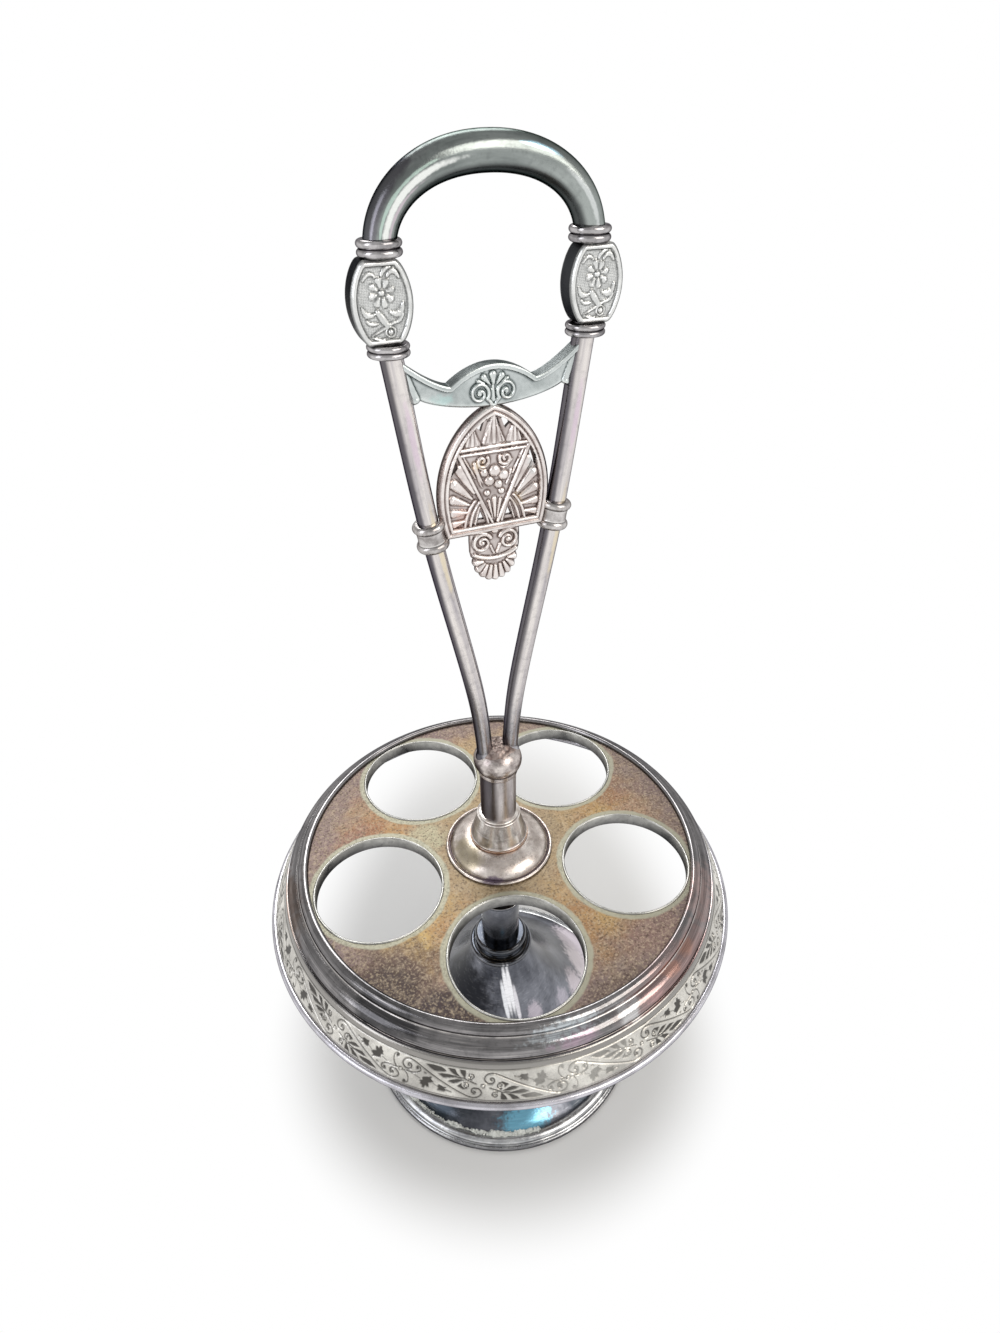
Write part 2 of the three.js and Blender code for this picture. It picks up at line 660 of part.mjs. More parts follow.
function engravedBand() {
  return turned([...bandSide(0, 3), ...bandSide(BAND_WALL, 2).reverse()], DRUM_FACETS);
}

function lipWire() {
  const radius = rimEdgeRadius() + RIM_LIP + BAND_SPREAD;
  const level = rimBottom() - SEAM - BAND_HEIGHT - SEAM - LIP_WIRE_RADIUS;
  const last = 360 - 360 / LIP_WIRE_SIDES;
  const section = arc(radius, level, LIP_WIRE_RADIUS, LIP_WIRE_RADIUS, 0, last, LIP_WIRE_SIDES - 1);
  return turned(section, DRUM_FACETS);
}

// Stem and knop

function stemCollar() {
  const lip = STEM_COLLAR_LIP;
  const flare = STEM_COLLAR_RADIUS - STEM_COLLAR_TOP_RADIUS;
  const middle = STEM_COLLAR_BOTTOM + STEM_COLLAR_HEIGHT / 2;
  return turned(
    [
      [SPINDLE_HOLE_RADIUS, STEM_COLLAR_BOTTOM],
      [STEM_COLLAR_RADIUS - lip / 2, STEM_COLLAR_BOTTOM],
      [STEM_COLLAR_RADIUS, STEM_COLLAR_BOTTOM + lip],
      [STEM_COLLAR_RADIUS - lip, STEM_COLLAR_BOTTOM + lip * 2],
      [STEM_COLLAR_TOP_RADIUS + flare * STEM_COLLAR_HOLLOW_SHARE, middle],
      [STEM_COLLAR_TOP_RADIUS, STEM_COLLAR_TOP - STEM_COLLAR_FILLET * 2],
      [STEM_COLLAR_TOP_RADIUS + lip / 2, STEM_COLLAR_TOP - STEM_COLLAR_FILLET],
      [STEM_COLLAR_TOP_RADIUS - lip, STEM_COLLAR_TOP],
      [SPINDLE_HOLE_RADIUS, STEM_COLLAR_TOP],
    ],
    SMALL_FACETS,
  );
}

function stem() {
  const boreTop = SPINDLE_TOP + SOCKET_GAP;
  return turned(
    [
      [0, STEM_TOP],
      [STEM_RADIUS, STEM_TOP],
      [STEM_RADIUS, STEM_BOTTOM],
      [SPINDLE_HOLE_RADIUS, STEM_BOTTOM],
      [SPINDLE_HOLE_RADIUS, boreTop],
      [0, boreTop],
    ],
    SMALL_FACETS,
  );
}

/** The knop, or with a gap the space that the rods leave for it. */
function knop(gap = 0) {
  const tall = KNOP_HEIGHT / 2 / Math.sin(THREE.MathUtils.degToRad(KNOP_SWEEP));
  const sides = arc(0, KNOP_MIDDLE, KNOP_RADIUS + gap, tall + gap, -KNOP_SWEEP, KNOP_SWEEP, 8);
  return turned([[0, sides[0][1]], ...sides, [0, sides.at(-1)[1]]], SMALL_FACETS);
}

// Handle rods, clamps and ferrules, made for the right side; side is 1 right, -1 left

/** Centre line of a rod, from inside the knop to the underside of the cartouche. */
function rodCurve(side) {
  const places = [
    [ROD_FOOT_SPREAD, KNOP_MIDDLE],
    [ROD_BEND_SPREAD, KNOP_MIDDLE + ROD_BEND_RISE],
    [CLAMP_SPREAD, CLAMP_LEVEL],
    [HANDLE_SPREAD, CARTOUCHE_BOTTOM - SOCKET_GAP],
  ];
  return new THREE.CatmullRomCurve3(places.map(([x, z]) => new THREE.Vector3(side * x, 0, z)));
}

function rodSpace(side) {
  return bar(rodCurve(side), () => ROD_RADIUS + SOCKET_GAP, ROD_STEPS, ROD_FACETS);
}

function rod(side) {
  const level = CARTOUCHE_BOTTOM - SOCKET_GAP;
  const whole = bar(rodCurve(side), () => ROD_RADIUS, ROD_STEPS, ROD_FACETS);
  const above = plug(HANDLE_SPREAD * 2, level, level + HANDLE_SPREAD, ROD_FACETS);
  return whole.subtract(knop(SOCKET_GAP)).subtract(above);
}

/** Puts a piece turned about the upright axis at the clamp's level, square to the rod. */
function atClamp(solid, side) {
  const curve = rodCurve(side);
  const share = shareAtLevel(curve, CLAMP_LEVEL);
  const along = curve.getTangentAt(share);
  const place = curve.getPointAt(share);
  const lean = THREE.MathUtils.radToDeg(Math.atan2(along.x, along.z));
  return solid.rotate([0, lean, 0]).translate([place.x, 0, place.z]);
}

/** The space that the plaque leaves for a clamp. */
function clampSpace(side) {
  const radius = CLAMP_RADIUS + SOCKET_GAP;
  const half = CLAMP_LENGTH / 2 + SOCKET_GAP;
  return atClamp(plug(radius, -half, half, SMALL_FACETS), side);
}

/** How far along a curve, as a share of its length, it reaches a level. */
function shareAtLevel(curve, level) {
  let low = 0;
  let high = 1;
  for (let halving = 0; halving < 30; halving += 1) {
    const middle = (low + high) / 2;
    if (curve.getPointAt(middle).z < level) low = middle;
    else high = middle;
  }
  return low;
}

/** A spool with a bead at each end that grips the rod. */
function clamp(side) {
  const half = CLAMP_LENGTH / 2;
  const bead = CLAMP_BEAD_RADIUS;
  const waist = half - bead * 2 - CLAMP_FILLET;
  const spool = turned(
    [
      [0, -half],
      ...arc(CLAMP_RADIUS - bead, bead - half, bead, bead, -90, 90, 4),
      [CLAMP_WAIST_RADIUS, -waist],
      [CLAMP_WAIST_RADIUS, waist],
      ...arc(CLAMP_RADIUS - bead, half - bead, bead, bead, -90, 90, 4),
      [0, half],
    ],
    SMALL_FACETS / 2,
  );
  return atClamp(spool, side).subtract(rodSpace(side));
}

/** A ferrule's outside: two beads with a hollow between them. */
function ferruleBody(side, bottom, height) {
  const bead = height / 4;
  const core = FERRULE_RADIUS - bead;
  return turned(
    [
      [0, bottom],
      ...arc(core, bottom + bead, bead, bead, -90, FERRULE_BEAD_SWEEP, 3),
      ...arc(core, bottom + bead * 3, bead, bead, -FERRULE_BEAD_SWEEP, 90, 3),
      [0, bottom + height],
    ],
    SMALL_FACETS / 2,
  ).translate([side * HANDLE_SPREAD, 0, 0]);
}

function lowerFerrule(side) {
  return ferruleBody(side, LOWER_FERRULE_BOTTOM, LOWER_FERRULE_HEIGHT).subtract(rodSpace(side));
}

function upperFerrule(side) {
  const body = ferruleBody(side, UPPER_FERRULE_BOTTOM, UPPER_FERRULE_HEIGHT);
  return body.subtract(archBar(SOCKET_GAP, SOCKET_GAP));
}

// Arch and cartouches

/** Flattened round arch between the ferrules. */
class ArchCurve extends THREE.Curve {
  constructor(spring) {
    super();
    this.spring = spring;
  }

  getPoint(share, target = new THREE.Vector3()) {
    const angle = Math.PI * share;
    const power = 2 / ARCH_SQUARENESS;
    const across = Math.sign(Math.cos(angle)) * Math.abs(Math.cos(angle)) ** power;
    const up = Math.abs(Math.sin(angle)) ** power;
    const rise = ARCH_SPRING + ARCH_RISE - this.spring;
    return target.set(HANDLE_SPREAD * across, 0, this.spring + rise * up);
  }
}

/** The arch's bar, thicker by gap all round and longer by extra at its feet. */
function archBar(gap = 0, extra = 0) {
  const swell = ARCH_CROWN_RADIUS - ARCH_END_RADIUS;
  const radiusAt = (share) => ARCH_END_RADIUS + gap + swell * Math.sin(Math.PI * share);
  return bar(new ArchCurve(ARCH_SPRING - extra), radiusAt, ARCH_STEPS, ARCH_FACETS);
}

/** Barrel outline of a cartouche, smaller by inset all round. */
function cartoucheOutline(inset) {
  const end = CARTOUCHE_END_WIDTH / 2 - inset;
  const middle = CARTOUCHE_WIDTH / 2 - inset;
  const low = CARTOUCHE_BOTTOM + inset;
  const high = CARTOUCHE_TOP - inset;
  const level = (low + high) / 2;
  const bulge = 2 * middle - end;
  const shape = new THREE.Shape();
  shape.moveTo(-end, low);
  shape.lineTo(end, low);
  shape.quadraticCurveTo(bulge, level, end, high);
  shape.lineTo(-end, high);
  shape.quadraticCurveTo(-bulge, level, -end, low);
  return shape;
}

function cartouche(side) {
  const body = slab(cartoucheOutline(0), CARTOUCHE_DEPTH);
  const recess = slab(cartoucheOutline(CARTOUCHE_BORDER), CARTOUCHE_RECESS * 2);
  return body
    .subtract(recess.translate([0, -CARTOUCHE_DEPTH / 2, 0]))
    .subtract(recess.translate([0, CARTOUCHE_DEPTH / 2, 0]))
    .translate([side * (HANDLE_SPREAD + CARTOUCHE_SHIFT), 0, 0]);
}

// Yoke

/** Upper edge of the yoke's right half, from the crest through the valley up to the ferrule. */
function yokeEdge() {
  const valley = YOKE_CREST - YOKE_CREST_DROP;
  const wingRise = LOWER_FERRULE_BOTTOM - SOCKET_GAP - valley;
  const wingSpan = HANDLE_SPREAD - YOKE_WING_INSET - YOKE_VALLEY_SPREAD;
  const edge = (from, level, span, rise) =>
    Array.from({ length: YOKE_EDGE_STEPS + 1 }, (_, i) => {
      const share = i / YOKE_EDGE_STEPS;
      return [from + span * share, level + rise * share ** 2];
    });
  const crown = edge(0, YOKE_CREST, YOKE_VALLEY_SPREAD, -YOKE_CREST_DROP);
  const wing = edge(YOKE_VALLEY_SPREAD, valley, wingSpan, wingRise);
  return [...crown, ...wing.slice(1)];
}

function yoke() {
  const bottom = YOKE_CREST - YOKE_THICKNESS;
  const edge = yokeEdge();
  const half = [
    ...edge,
    [HANDLE_SPREAD, edge.at(-1)[1]],
    ...YOKE_UNDERSIDE_SHARES.map(([x, z]) => [HANDLE_SPREAD * x, bottom + YOKE_THICKNESS * z]),
  ];
  const outline = [...half, ...mirrored(half.slice(1, -1))];
  const under = edge.map(([x, z]) => [x, z - YOKE_FLANGE_THICKNESS]).reverse();
  const flange = [...edge, ...under.slice(0, -1), ...mirrored([...edge.slice(1), ...under])];
  return slab(polygon(outline), YOKE_DEPTH)
    .add(slab(polygon(flange), YOKE_FLANGE_DEPTH))
    .subtract(rodSpace(1))
    .subtract(rodSpace(-1))
    .subtract(slab(plaqueOutline(-SOCKET_GAP), YOKE_FLANGE_DEPTH * 2));
}

// Pierced plaque with its pendant

/** Pointed outline of the plaque, smaller by inset all round. */
function plaqueOutline(inset) {
  const wide = PLAQUE_HALF_WIDTH - inset;
  const base = PLAQUE_BASE_HALF_WIDTH - inset;
  const low = PLAQUE_BASE + inset;
  const shoulder = PLAQUE_BASE + PLAQUE_SHOULDER;
  const high = PLAQUE_TOP - inset;
  const haunch = shoulder + (high - shoulder) * PLAQUE_HAUNCH_SHARE;
  const point = wide * PLAQUE_POINT_WIDTH_SHARE;
  const pointLevel = high - (high - shoulder) * PLAQUE_POINT_DROP_SHARE;
  const shape = new THREE.Shape();
  shape.moveTo(-base, low);
  shape.lineTo(base, low);
  shape.quadraticCurveTo(wide, (low + shoulder) / 2, wide, shoulder);
  shape.bezierCurveTo(wide, haunch, point, pointLevel, 0, high);
  shape.bezierCurveTo(-point, pointLevel, -wide, haunch, -wide, shoulder);
  shape.quadraticCurveTo(-wide, (low + shoulder) / 2, -base, low);
  return shape;
}

/** Corners given as shares of the plaque's half width and height. */
function onPlaque(corners) {
  return corners.map(([x, z]) => [x * PLAQUE_HALF_WIDTH, PLAQUE_BASE + z * PLAQUE_HEIGHT]);
}

/** Through cuts of the right half: beside the middle leaf, beside the funnel and in the small arch. */
const PLAQUE_PIERCINGS = [
  [[0.12, 0.89], [0.2, 0.79], [0.31, 0.83]],
  [[0.6, 0.64], [0.58, 0.54], [0.72, 0.51]],
  [[0.18, 0.125], [0.32, 0.125], [0.24, 0.21]],
  [[0.27, 0.62], [0.34, 0.53], [0.4, 0.62]],
];

function plaque() {
  const right = [PLAQUE_BAR_HALF_LENGTH, PLAQUE_BASE + PLAQUE_BAR_RISE];
  const left = [-right[0], right[1]];
  const foot = [0, PLAQUE_BASE + PLAQUE_FUNNEL_FOOT];
  const face = plaqueOutline(PLAQUE_BEVEL);
  const window = slab(plaqueOutline(PLAQUE_FRAME_WIDTH), PLAQUE_FRAME_DEPTH * 2);
  const frame = bevelled(face, PLAQUE_EDGE_DEPTH, PLAQUE_FRAME_DEPTH, PLAQUE_BEVEL).subtract(window);
  let solid = slab(face, PLAQUE_FIELD_DEPTH);
  PLAQUE_PIERCINGS.forEach((corners) => {
    const cut = onPlaque(corners);
    solid = solid.subtract(slab(polygon(cut), PLAQUE_FIELD_DEPTH * 2));
    solid = solid.subtract(slab(polygon(mirrored(cut)), PLAQUE_FIELD_DEPTH * 2));
  });
  solid = solid
    .add(frame)
    .add(strip(left, right, PLAQUE_BAR_WIDTH, PLAQUE_BAR_DEPTH))
    .add(strip(left, foot, PLAQUE_FUNNEL_WIDTH, PLAQUE_BAR_DEPTH))
    .add(strip(right, foot, PLAQUE_FUNNEL_WIDTH, PLAQUE_BAR_DEPTH))
    .add(slab(pendantOutline(), PENDANT_DEPTH));
  [-1, 1].forEach((side) => {
    solid = solid.subtract(clampSpace(side)).subtract(rodSpace(side));
  });
  return solid;
}

/** A fan of lobes hanging from the plaque's base. */
function pendantOutline() {
  const middle = PLAQUE_BASE - PENDANT_DROP;
  const steps = PENDANT_LOBES * PENDANT_LOBE_STEPS;
  const lobes = Array.from({ length: steps + 1 }, (_, i) => {
    const share = i / steps;
    const angle = PENDANT_SWEEP * (share - 0.5) - Math.PI / 2;
    const notch = PENDANT_LOBE_RELIEF * (1 - Math.abs(Math.sin(Math.PI * PENDANT_LOBES * share)));
    const radius = PENDANT_RADIUS - notch;
    return [Math.cos(angle) * radius, middle + Math.sin(angle) * radius];
  });
  const root = PLAQUE_BASE + PLAQUE_FRAME_WIDTH / 2;
  return polygon([...lobes, [PENDANT_ROOT_HALF_WIDTH, root], [-PENDANT_ROOT_HALF_WIDTH, root]]);
}

// Assembly

const stand = new THREE.Group();
stand.name = "cruet_stand";

const base = new THREE.Group();
base.add(
  piece("foot_ring", footRing(), "dark_silver"),
  piece("foot_bell", footBell(), "dark_silver"),
  piece("pedestal_collar", pedestalCollar(), "dark_silver"),
  piece("pedestal_column", pedestalColumn(), "dark_silver"),
  piece("bearing_washer", bearingWasher(), "copper"),
  piece("journal", journal(), "copper"),
  piece("spindle", spindle(), "steel"),
  piece("bell_washer", bellWasher(), "steel"),
  piece("spindle_nut", spindleNut(), "steel"),
);

const tray = new THREE.Group();
tray.add(
  piece("tray_plate", trayPlate(), "tarnished_silver"),
  piece("hub_sleeve", hubSleeve(), "copper"),
  piece("tray_boss", trayBoss(), "warm_silver"),
  piece("rim_moulding", rimMoulding(), "dark_silver"),
  piece("engraved_band", engravedBand(), "frosted_silver"),
  piece("lip_wire", lipWire(), "dark_silver"),
);
for (let i = 0; i < HOLE_COUNT; i += 1) {
  tray.add(piece(`bottle_collar_${i + 1}`, holeCollar(i), "warm_silver"));
}

const handle = new THREE.Group();
handle.add(
  piece("clamping_washer", clampingWasher(), "copper"),
  piece("stem_collar", stemCollar(), "warm_silver"),
  piece("stem", stem(), "warm_silver"),
  piece("knop", knop(), "warm_silver"),
  piece("plaque", plaque(), "cast_silver"),
  piece("yoke", yoke(), "cast_silver"),
  piece("handle_arch", archBar(), "gunmetal_silver"),
);
[["right", 1], ["left", -1]].forEach(([word, side]) => {
  handle.add(
    piece(`rod_${word}`, rod(side), "rod_silver"),
    piece(`clamp_${word}`, clamp(side), "warm_silver"),
    piece(`lower_ferrule_${word}`, lowerFerrule(side), "warm_silver"),
    piece(`cartouche_${word}`, cartouche(side), "cast_silver"),
    piece(`upper_ferrule_${word}`, upperFerrule(side), "warm_silver"),
  );
});

stand.add(base, tray, handle);

export default stand;
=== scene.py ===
"""Looks of a revolving cruet stand: turned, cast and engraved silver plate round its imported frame.

Lengths are millimetres in the frame's own axes until a mesh is made, and metres in Blender. The
handle lies in the XZ plane, +Z is up and the photographed front is towards -Y.
"""

import logging
import math
from collections.abc import Callable, Sequence
from dataclasses import dataclass
from enum import Enum

import bmesh
import bpy
import numpy as np
from mathutils import Matrix, Vector
from mathutils.geometry import delaunay_2d_cdt


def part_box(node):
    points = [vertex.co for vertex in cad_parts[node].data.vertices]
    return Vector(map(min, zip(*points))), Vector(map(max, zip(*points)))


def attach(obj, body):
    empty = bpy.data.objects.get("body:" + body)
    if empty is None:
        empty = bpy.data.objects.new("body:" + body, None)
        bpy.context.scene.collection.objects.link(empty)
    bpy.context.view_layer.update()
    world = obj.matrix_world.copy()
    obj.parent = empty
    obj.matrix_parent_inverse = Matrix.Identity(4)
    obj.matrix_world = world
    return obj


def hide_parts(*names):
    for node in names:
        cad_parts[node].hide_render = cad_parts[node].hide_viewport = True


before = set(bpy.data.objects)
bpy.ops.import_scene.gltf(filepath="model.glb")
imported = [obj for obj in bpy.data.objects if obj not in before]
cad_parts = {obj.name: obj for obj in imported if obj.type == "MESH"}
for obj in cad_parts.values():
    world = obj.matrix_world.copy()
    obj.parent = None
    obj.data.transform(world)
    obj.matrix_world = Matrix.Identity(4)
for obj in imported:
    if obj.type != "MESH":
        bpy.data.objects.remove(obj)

LOG = logging.getLogger("cruet_stand")
MM = 0.001
TAU = 2 * math.pi
PHOTO_SIZE = (1000, 1333)
EDGE_WIDTH = 0.35
THREAD_GAP = 0.15
SEAM = 0.05

Point = tuple[float, float]
Point3 = tuple[float, float, float]
Array = np.ndarray
Tree = bpy.types.NodeTree
Wire = bpy.types.Node | bpy.types.NodeSocket
Layer = tuple[Wire, str]


class Body(Enum):
    """The two rigid bodies of the frame."""

    STAND = "stand"
    TRAY = "tray"


# Small helpers


def linear(colour: str) -> tuple[float, float, float, float]:
    """Turns an sRGB hex colour into linear RGBA.

    Args:
        colour: Six hex digits after a hash sign.

    Returns:
        Red, green, blue and an alpha of 1.
    """
    parts = [int(colour[i : i + 2], 16) / 255 for i in (1, 3, 5)]
    red, green, blue = (c / 12.92 if c <= 0.04045 else ((c + 0.055) / 1.055) ** 2.4 for c in parts)
    return red, green, blue, 1.0


def add(tree: Tree, kind: str, inputs: dict | None = None, **settings) -> bpy.types.Node:
    """Adds a node with its settings, values and links.

    Args:
        tree: The node tree that takes the node.
        kind: The node's type name.
        inputs: Socket name or index to a value, or to a socket or a node's first output that is linked to it.
        **settings: Attributes of the node, such as operation.

    Returns:
        The new node.
    """
    node = tree.nodes.new(kind)
    for name, value in settings.items():
        setattr(node, name, value)
    for name, value in (inputs or {}).items():
        if isinstance(value, bpy.types.Node):
            value = next(s for s in value.outputs if s.enabled)
        if isinstance(value, bpy.types.NodeSocket):
            tree.links.new(value, node.inputs[name])
        else:
            node.inputs[name].default_value = value
    return node


@dataclass(frozen=True)
class Box:
    """Lowest and highest corner of a node at rest, in millimetres."""

    low: Array
    high: Array

    @property
    def radius(self) -> float:
        """Outer radius of a piece that is turned about the stand's axis."""
        return float(self.high[0])

    @property
    def bottom(self) -> float:
        """Lowest level."""
        return float(self.low[2])

    @property
    def top(self) -> float:
        """Highest level."""
        return float(self.high[2])

    @property
    def level(self) -> float:
        """Level of the middle."""
        return float(self.low[2] + self.high[2]) / 2

    @property
    def tall(self) -> float:
        """Height from bottom to top."""
        return float(self.high[2] - self.low[2])

    @property
    def middle(self) -> Point:
        """Middle in x and y."""
        return float(self.low[0] + self.high[0]) / 2, float(self.low[1] + self.high[1]) / 2

    @property
    def half_width(self) -> float:
        """Half the width in x."""
        return float(self.high[0] - self.low[0]) / 2

    @property
    def front(self) -> float:
        """Half the depth of a piece that lies in the handle's plane."""
        return float(self.high[1])


def box(node: str) -> Box:
    """Box of one of the frame's nodes."""
    low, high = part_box(node)
    return Box(np.array(low) / MM, np.array(high) / MM)


def spindle_bore() -> float:
    """Radius of the holes that the spindle passes through."""
    return box("spindle").radius + THREAD_GAP


def smooth_step(value: Array, low: float, high: float) -> Array:
    """Eases from 0 at low to 1 at high.

    Args:
        value: What is eased.
        low: Where the result leaves 0.
        high: Where the result reaches 1.

    Returns:
        Shares from 0 to 1.
    """
    share = np.clip((value - low) / (high - low), 0, 1)
    return share * share * (3 - 2 * share)


def make_object(name: str, places: Array, faces: Sequence[Sequence[int]],
                crease: float = 40) -> bpy.types.Object:
    """Makes a smooth-shaded object at the origin from points in millimetres.

    Args:
        name: Name of the object and its mesh.
        places: One row of x, y and z for each point.
        faces: Point indices of each face, anticlockwise from outside.
        crease: Edges that turn more than this many degrees are drawn sharp.

    Returns:
        The new object.
    """
    mesh = bpy.data.meshes.new(name)
    mesh.from_pydata((np.asarray(places, float) * MM).tolist(), [], [list(f) for f in faces])
    mesh.validate()
    work = bmesh.new()
    work.from_mesh(mesh)
    limit = math.radians(crease)
    for face in work.faces:
        face.smooth = True
    for edge in work.edges:
        edge.smooth = not (edge.is_manifold and edge.calc_face_angle(0) > limit)
    work.to_mesh(mesh)
    work.free()
    obj = bpy.data.objects.new(name, mesh)
    bpy.context.scene.collection.objects.link(obj)
    return obj


def paint(obj: bpy.types.Object, name: str, values: Array) -> None:
    """Stores a number or a vector for each point of a mesh, for its material to read.

    Args:
        obj: The object whose mesh takes them.
        name: Name of the attribute.
        values: One number or row of three for each point, in the mesh's order.
    """
    data = np.asarray(values, np.float32)
    kind, part = ("FLOAT_VECTOR", "vector") if data.ndim > 1 else ("FLOAT", "value")
    obj.data.attributes.new(name, kind, "POINT").data.foreach_set(part, data.ravel())


def settle(obj: bpy.types.Object, body: Body, finish: "Finish", slot: str, *nodes: str) -> bpy.types.Object:
    """Dresses a finished piece and puts it on its body in place of its nodes.

    Args:
        obj: The piece, at the origin.
        body: The body that it moves with.
        finish: Its metal finish.
        slot: The record's material slot; not used.
        *nodes: The frame's nodes that it stands for.

    Returns:
        The same piece.
    """
    obj.data.materials.clear()
    obj.data.materials.append(finish.material())
    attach(obj, body.value)
    if nodes:
        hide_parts(*nodes)
    LOG.info("%s: %d faces on %s", obj.name, len(obj.data.polygons), body.value)
    return obj


# Outlines and turned forms


def bezier(ends: Sequence[Point], steps: int) -> list[Point]:
    """Points of a Bezier curve of any degree.

    Args:
        ends: Its control points.
        steps: How many stretches it is cut into.

    Returns:
        steps + 1 points.
    """
    control = np.array(ends, float)
    points = []
    for share in np.linspace(0, 1, steps + 1):
        row = control
        while len(row) > 1:
            row = row[:-1] * (1 - share) + row[1:] * share
        points.append((float(row[0][0]), float(row[0][1])))
    return points


def arc(middle: Point, wide: float, tall: float, first: float, last: float, steps: int) -> list[Point]:
    """Points of an elliptic arc.

    Args:
        middle: Centre of the ellipse.
        wide: Half its width.
        tall: Half its height.
        first: Where it starts, in degrees from the outward direction.
        last: Where it ends.
        steps: How many stretches it is cut into.

    Returns:
        steps + 1 points.
    """
    angles = np.radians(np.linspace(first, last, steps + 1))
    return [(middle[0] + wide * math.cos(a), middle[1] + tall * math.sin(a)) for a in angles]


def eased(profile: Sequence[Point], radius: float, steps: int = 3) -> list[Point]:
    """Rounds the sharp corners of a closed profile, as rubbing and polishing do.

    Args:
        profile: Corners of the closed outline.
        radius: Rounding wanted, less where the sides are short.
        steps: Stretches in each round.

    Returns:
        The outline with its sharp corners rounded.
    """
    points = [np.array(p, float) for p in profile]
    result: list[Point] = []
    for i, here in enumerate(points):
        before = points[i - 1] - here
        after = points[(i + 1) % len(points)] - here
        reach_before = float(np.linalg.norm(before))
        reach_after = float(np.linalg.norm(after))
        turn = float(np.dot(before, after)) / max(reach_before * reach_after, 1e-9)
        if turn < -0.9 or here[0] < 1e-6:
            result.append((float(here[0]), float(here[1])))
            continue
        reach = min(radius, reach_before * 0.45, reach_after * 0.45)
        start = here + before / reach_before * reach
        end = here + after / reach_after * reach
        result.extend(bezier([tuple(start), tuple(here), tuple(end)], steps))
    return result


def circle(radius: float, height: float, count: int, middle: Point = (0, 0)) -> list[Point3]:
    """Points round a level circle.

    Args:
        radius: Its radius.
        height: Its level.
        count: How many points it has.
        middle: X and Y of its centre.

    Returns:
        The points, anticlockwise from above.
    """
    angles = [TAU * k / count for k in range(count)]
    return [(middle[0] + radius * math.cos(a), middle[1] + radius * math.sin(a), height) for a in angles]


def skin(rings: Sequence[Sequence[int]], closed: bool = False) -> list[list[int]]:
    """Faces between rings of points that lie one above the other.

    Args:
        rings: Point indices of each ring, as many in each; a pole is one index over and over.
        closed: Whether the last ring is joined to the first.

    Returns:
        The faces, pointing away from the rings' axis where each ring lies above the one before.
    """
    faces = []
    for low, high in zip(rings, [*rings[1:], rings[0]] if closed else rings[1:]):
        for k in range(len(low)):
            n = (k + 1) % len(low)
            corners = list(dict.fromkeys([low[k], low[n], high[n], high[k]]))
            if len(corners) > 2:
                faces.append(corners)
    return faces


def numbered(rings: int, count: int, start: int = 0) -> list[range]:
    """Point indices of rings with as many points each, stored one ring after another."""
    return [range(start + i * count, start + (i + 1) * count) for i in range(rings)]


def turned(name: str, profile: Sequence[Point], segments: int = 160,
           middle: Point = (0, 0)) -> bpy.types.Object:
    """Turns a closed profile about an upright axis.

    Args:
        name: Name of the object.
        profile: Radius and height of each corner, anticlockwise with the radius to the right.
        segments: Facets round the axis.
        middle: X and Y of the axis.

    Returns:
        The turned object.
    """
    places: list[Point3] = []
    rings: list[Sequence[int]] = []
    wear_sheen_and_shade: list[float] = []
    for radius, height, corner_mark in marked_profile(profile):
        start = len(places)
        count = 1 if radius < 1e-6 else segments
        places.extend(circle(radius, height, count, middle))
        wear_sheen_and_shade.extend([corner_mark] * count)
        rings.append(range(start, start + segments) if count > 1 else [start] * segments)
    obj = make_object(name, np.array(places), skin(rings, closed=True))
    # painted on each ring: proud edges bright, partly rubbing and partly painted highlight; grooves dark,
    # painted shade
    paint(obj, "wear_sheen_and_shade", wear_sheen_and_shade)
    return obj


def tube(bore: float, piece: Box) -> list[Point]:
    """Profile of a plain tube as wide and as tall as a piece of the frame."""
    return [(bore, piece.bottom), (piece.radius, piece.bottom), (piece.radius, piece.top), (bore, piece.top)]


def marked_profile(profile: Sequence[Point]) -> list[Point3]:
    """Adds to each corner of a closed profile a painted mark, bright on an edge and dark in a groove, and
    points that keep the mark narrow.

    Args:
        profile: Radius and height of each corner, anticlockwise with the radius to the right.

    Returns:
        Radius, height and mark: 1 on a proud edge, partly rubbing and partly painted highlight, -1 in a
            groove, painted shade, and 0 between them.
    """
    gentle_turn, full_turn = 12, 30
    points = [np.array(p, float) for p in profile]
    wear_sheen_and_shade = []
    for before, here, after in zip(points[-1:] + points[:-1], points, points[1:] + points[:1]):
        first, second = here - before, after - here
        turn = math.degrees(math.atan2(first[0] * second[1] - first[1] * second[0], float(first @ second)))
        wear_sheen_and_shade.append(math.copysign(min(max(abs(turn) - gentle_turn, 0) / full_turn, 1), turn))
    rows = []
    for here, after, corner_mark, next_corner_mark in zip(points, points[1:] + points[:1], wear_sheen_and_shade, wear_sheen_and_shade[1:] + wear_sheen_and_shade[:1]):
        rows.append((float(here[0]), float(here[1]), corner_mark))
        length = float(np.linalg.norm(after - here))
        for at, value in ((EDGE_WIDTH, corner_mark), (length - EDGE_WIDTH, next_corner_mark)):
            if value and length > 2.5 * EDGE_WIDTH:
                place = here + (after - here) * at / length
                rows.append((float(place[0]), float(place[1]), 0.0))
    return rows


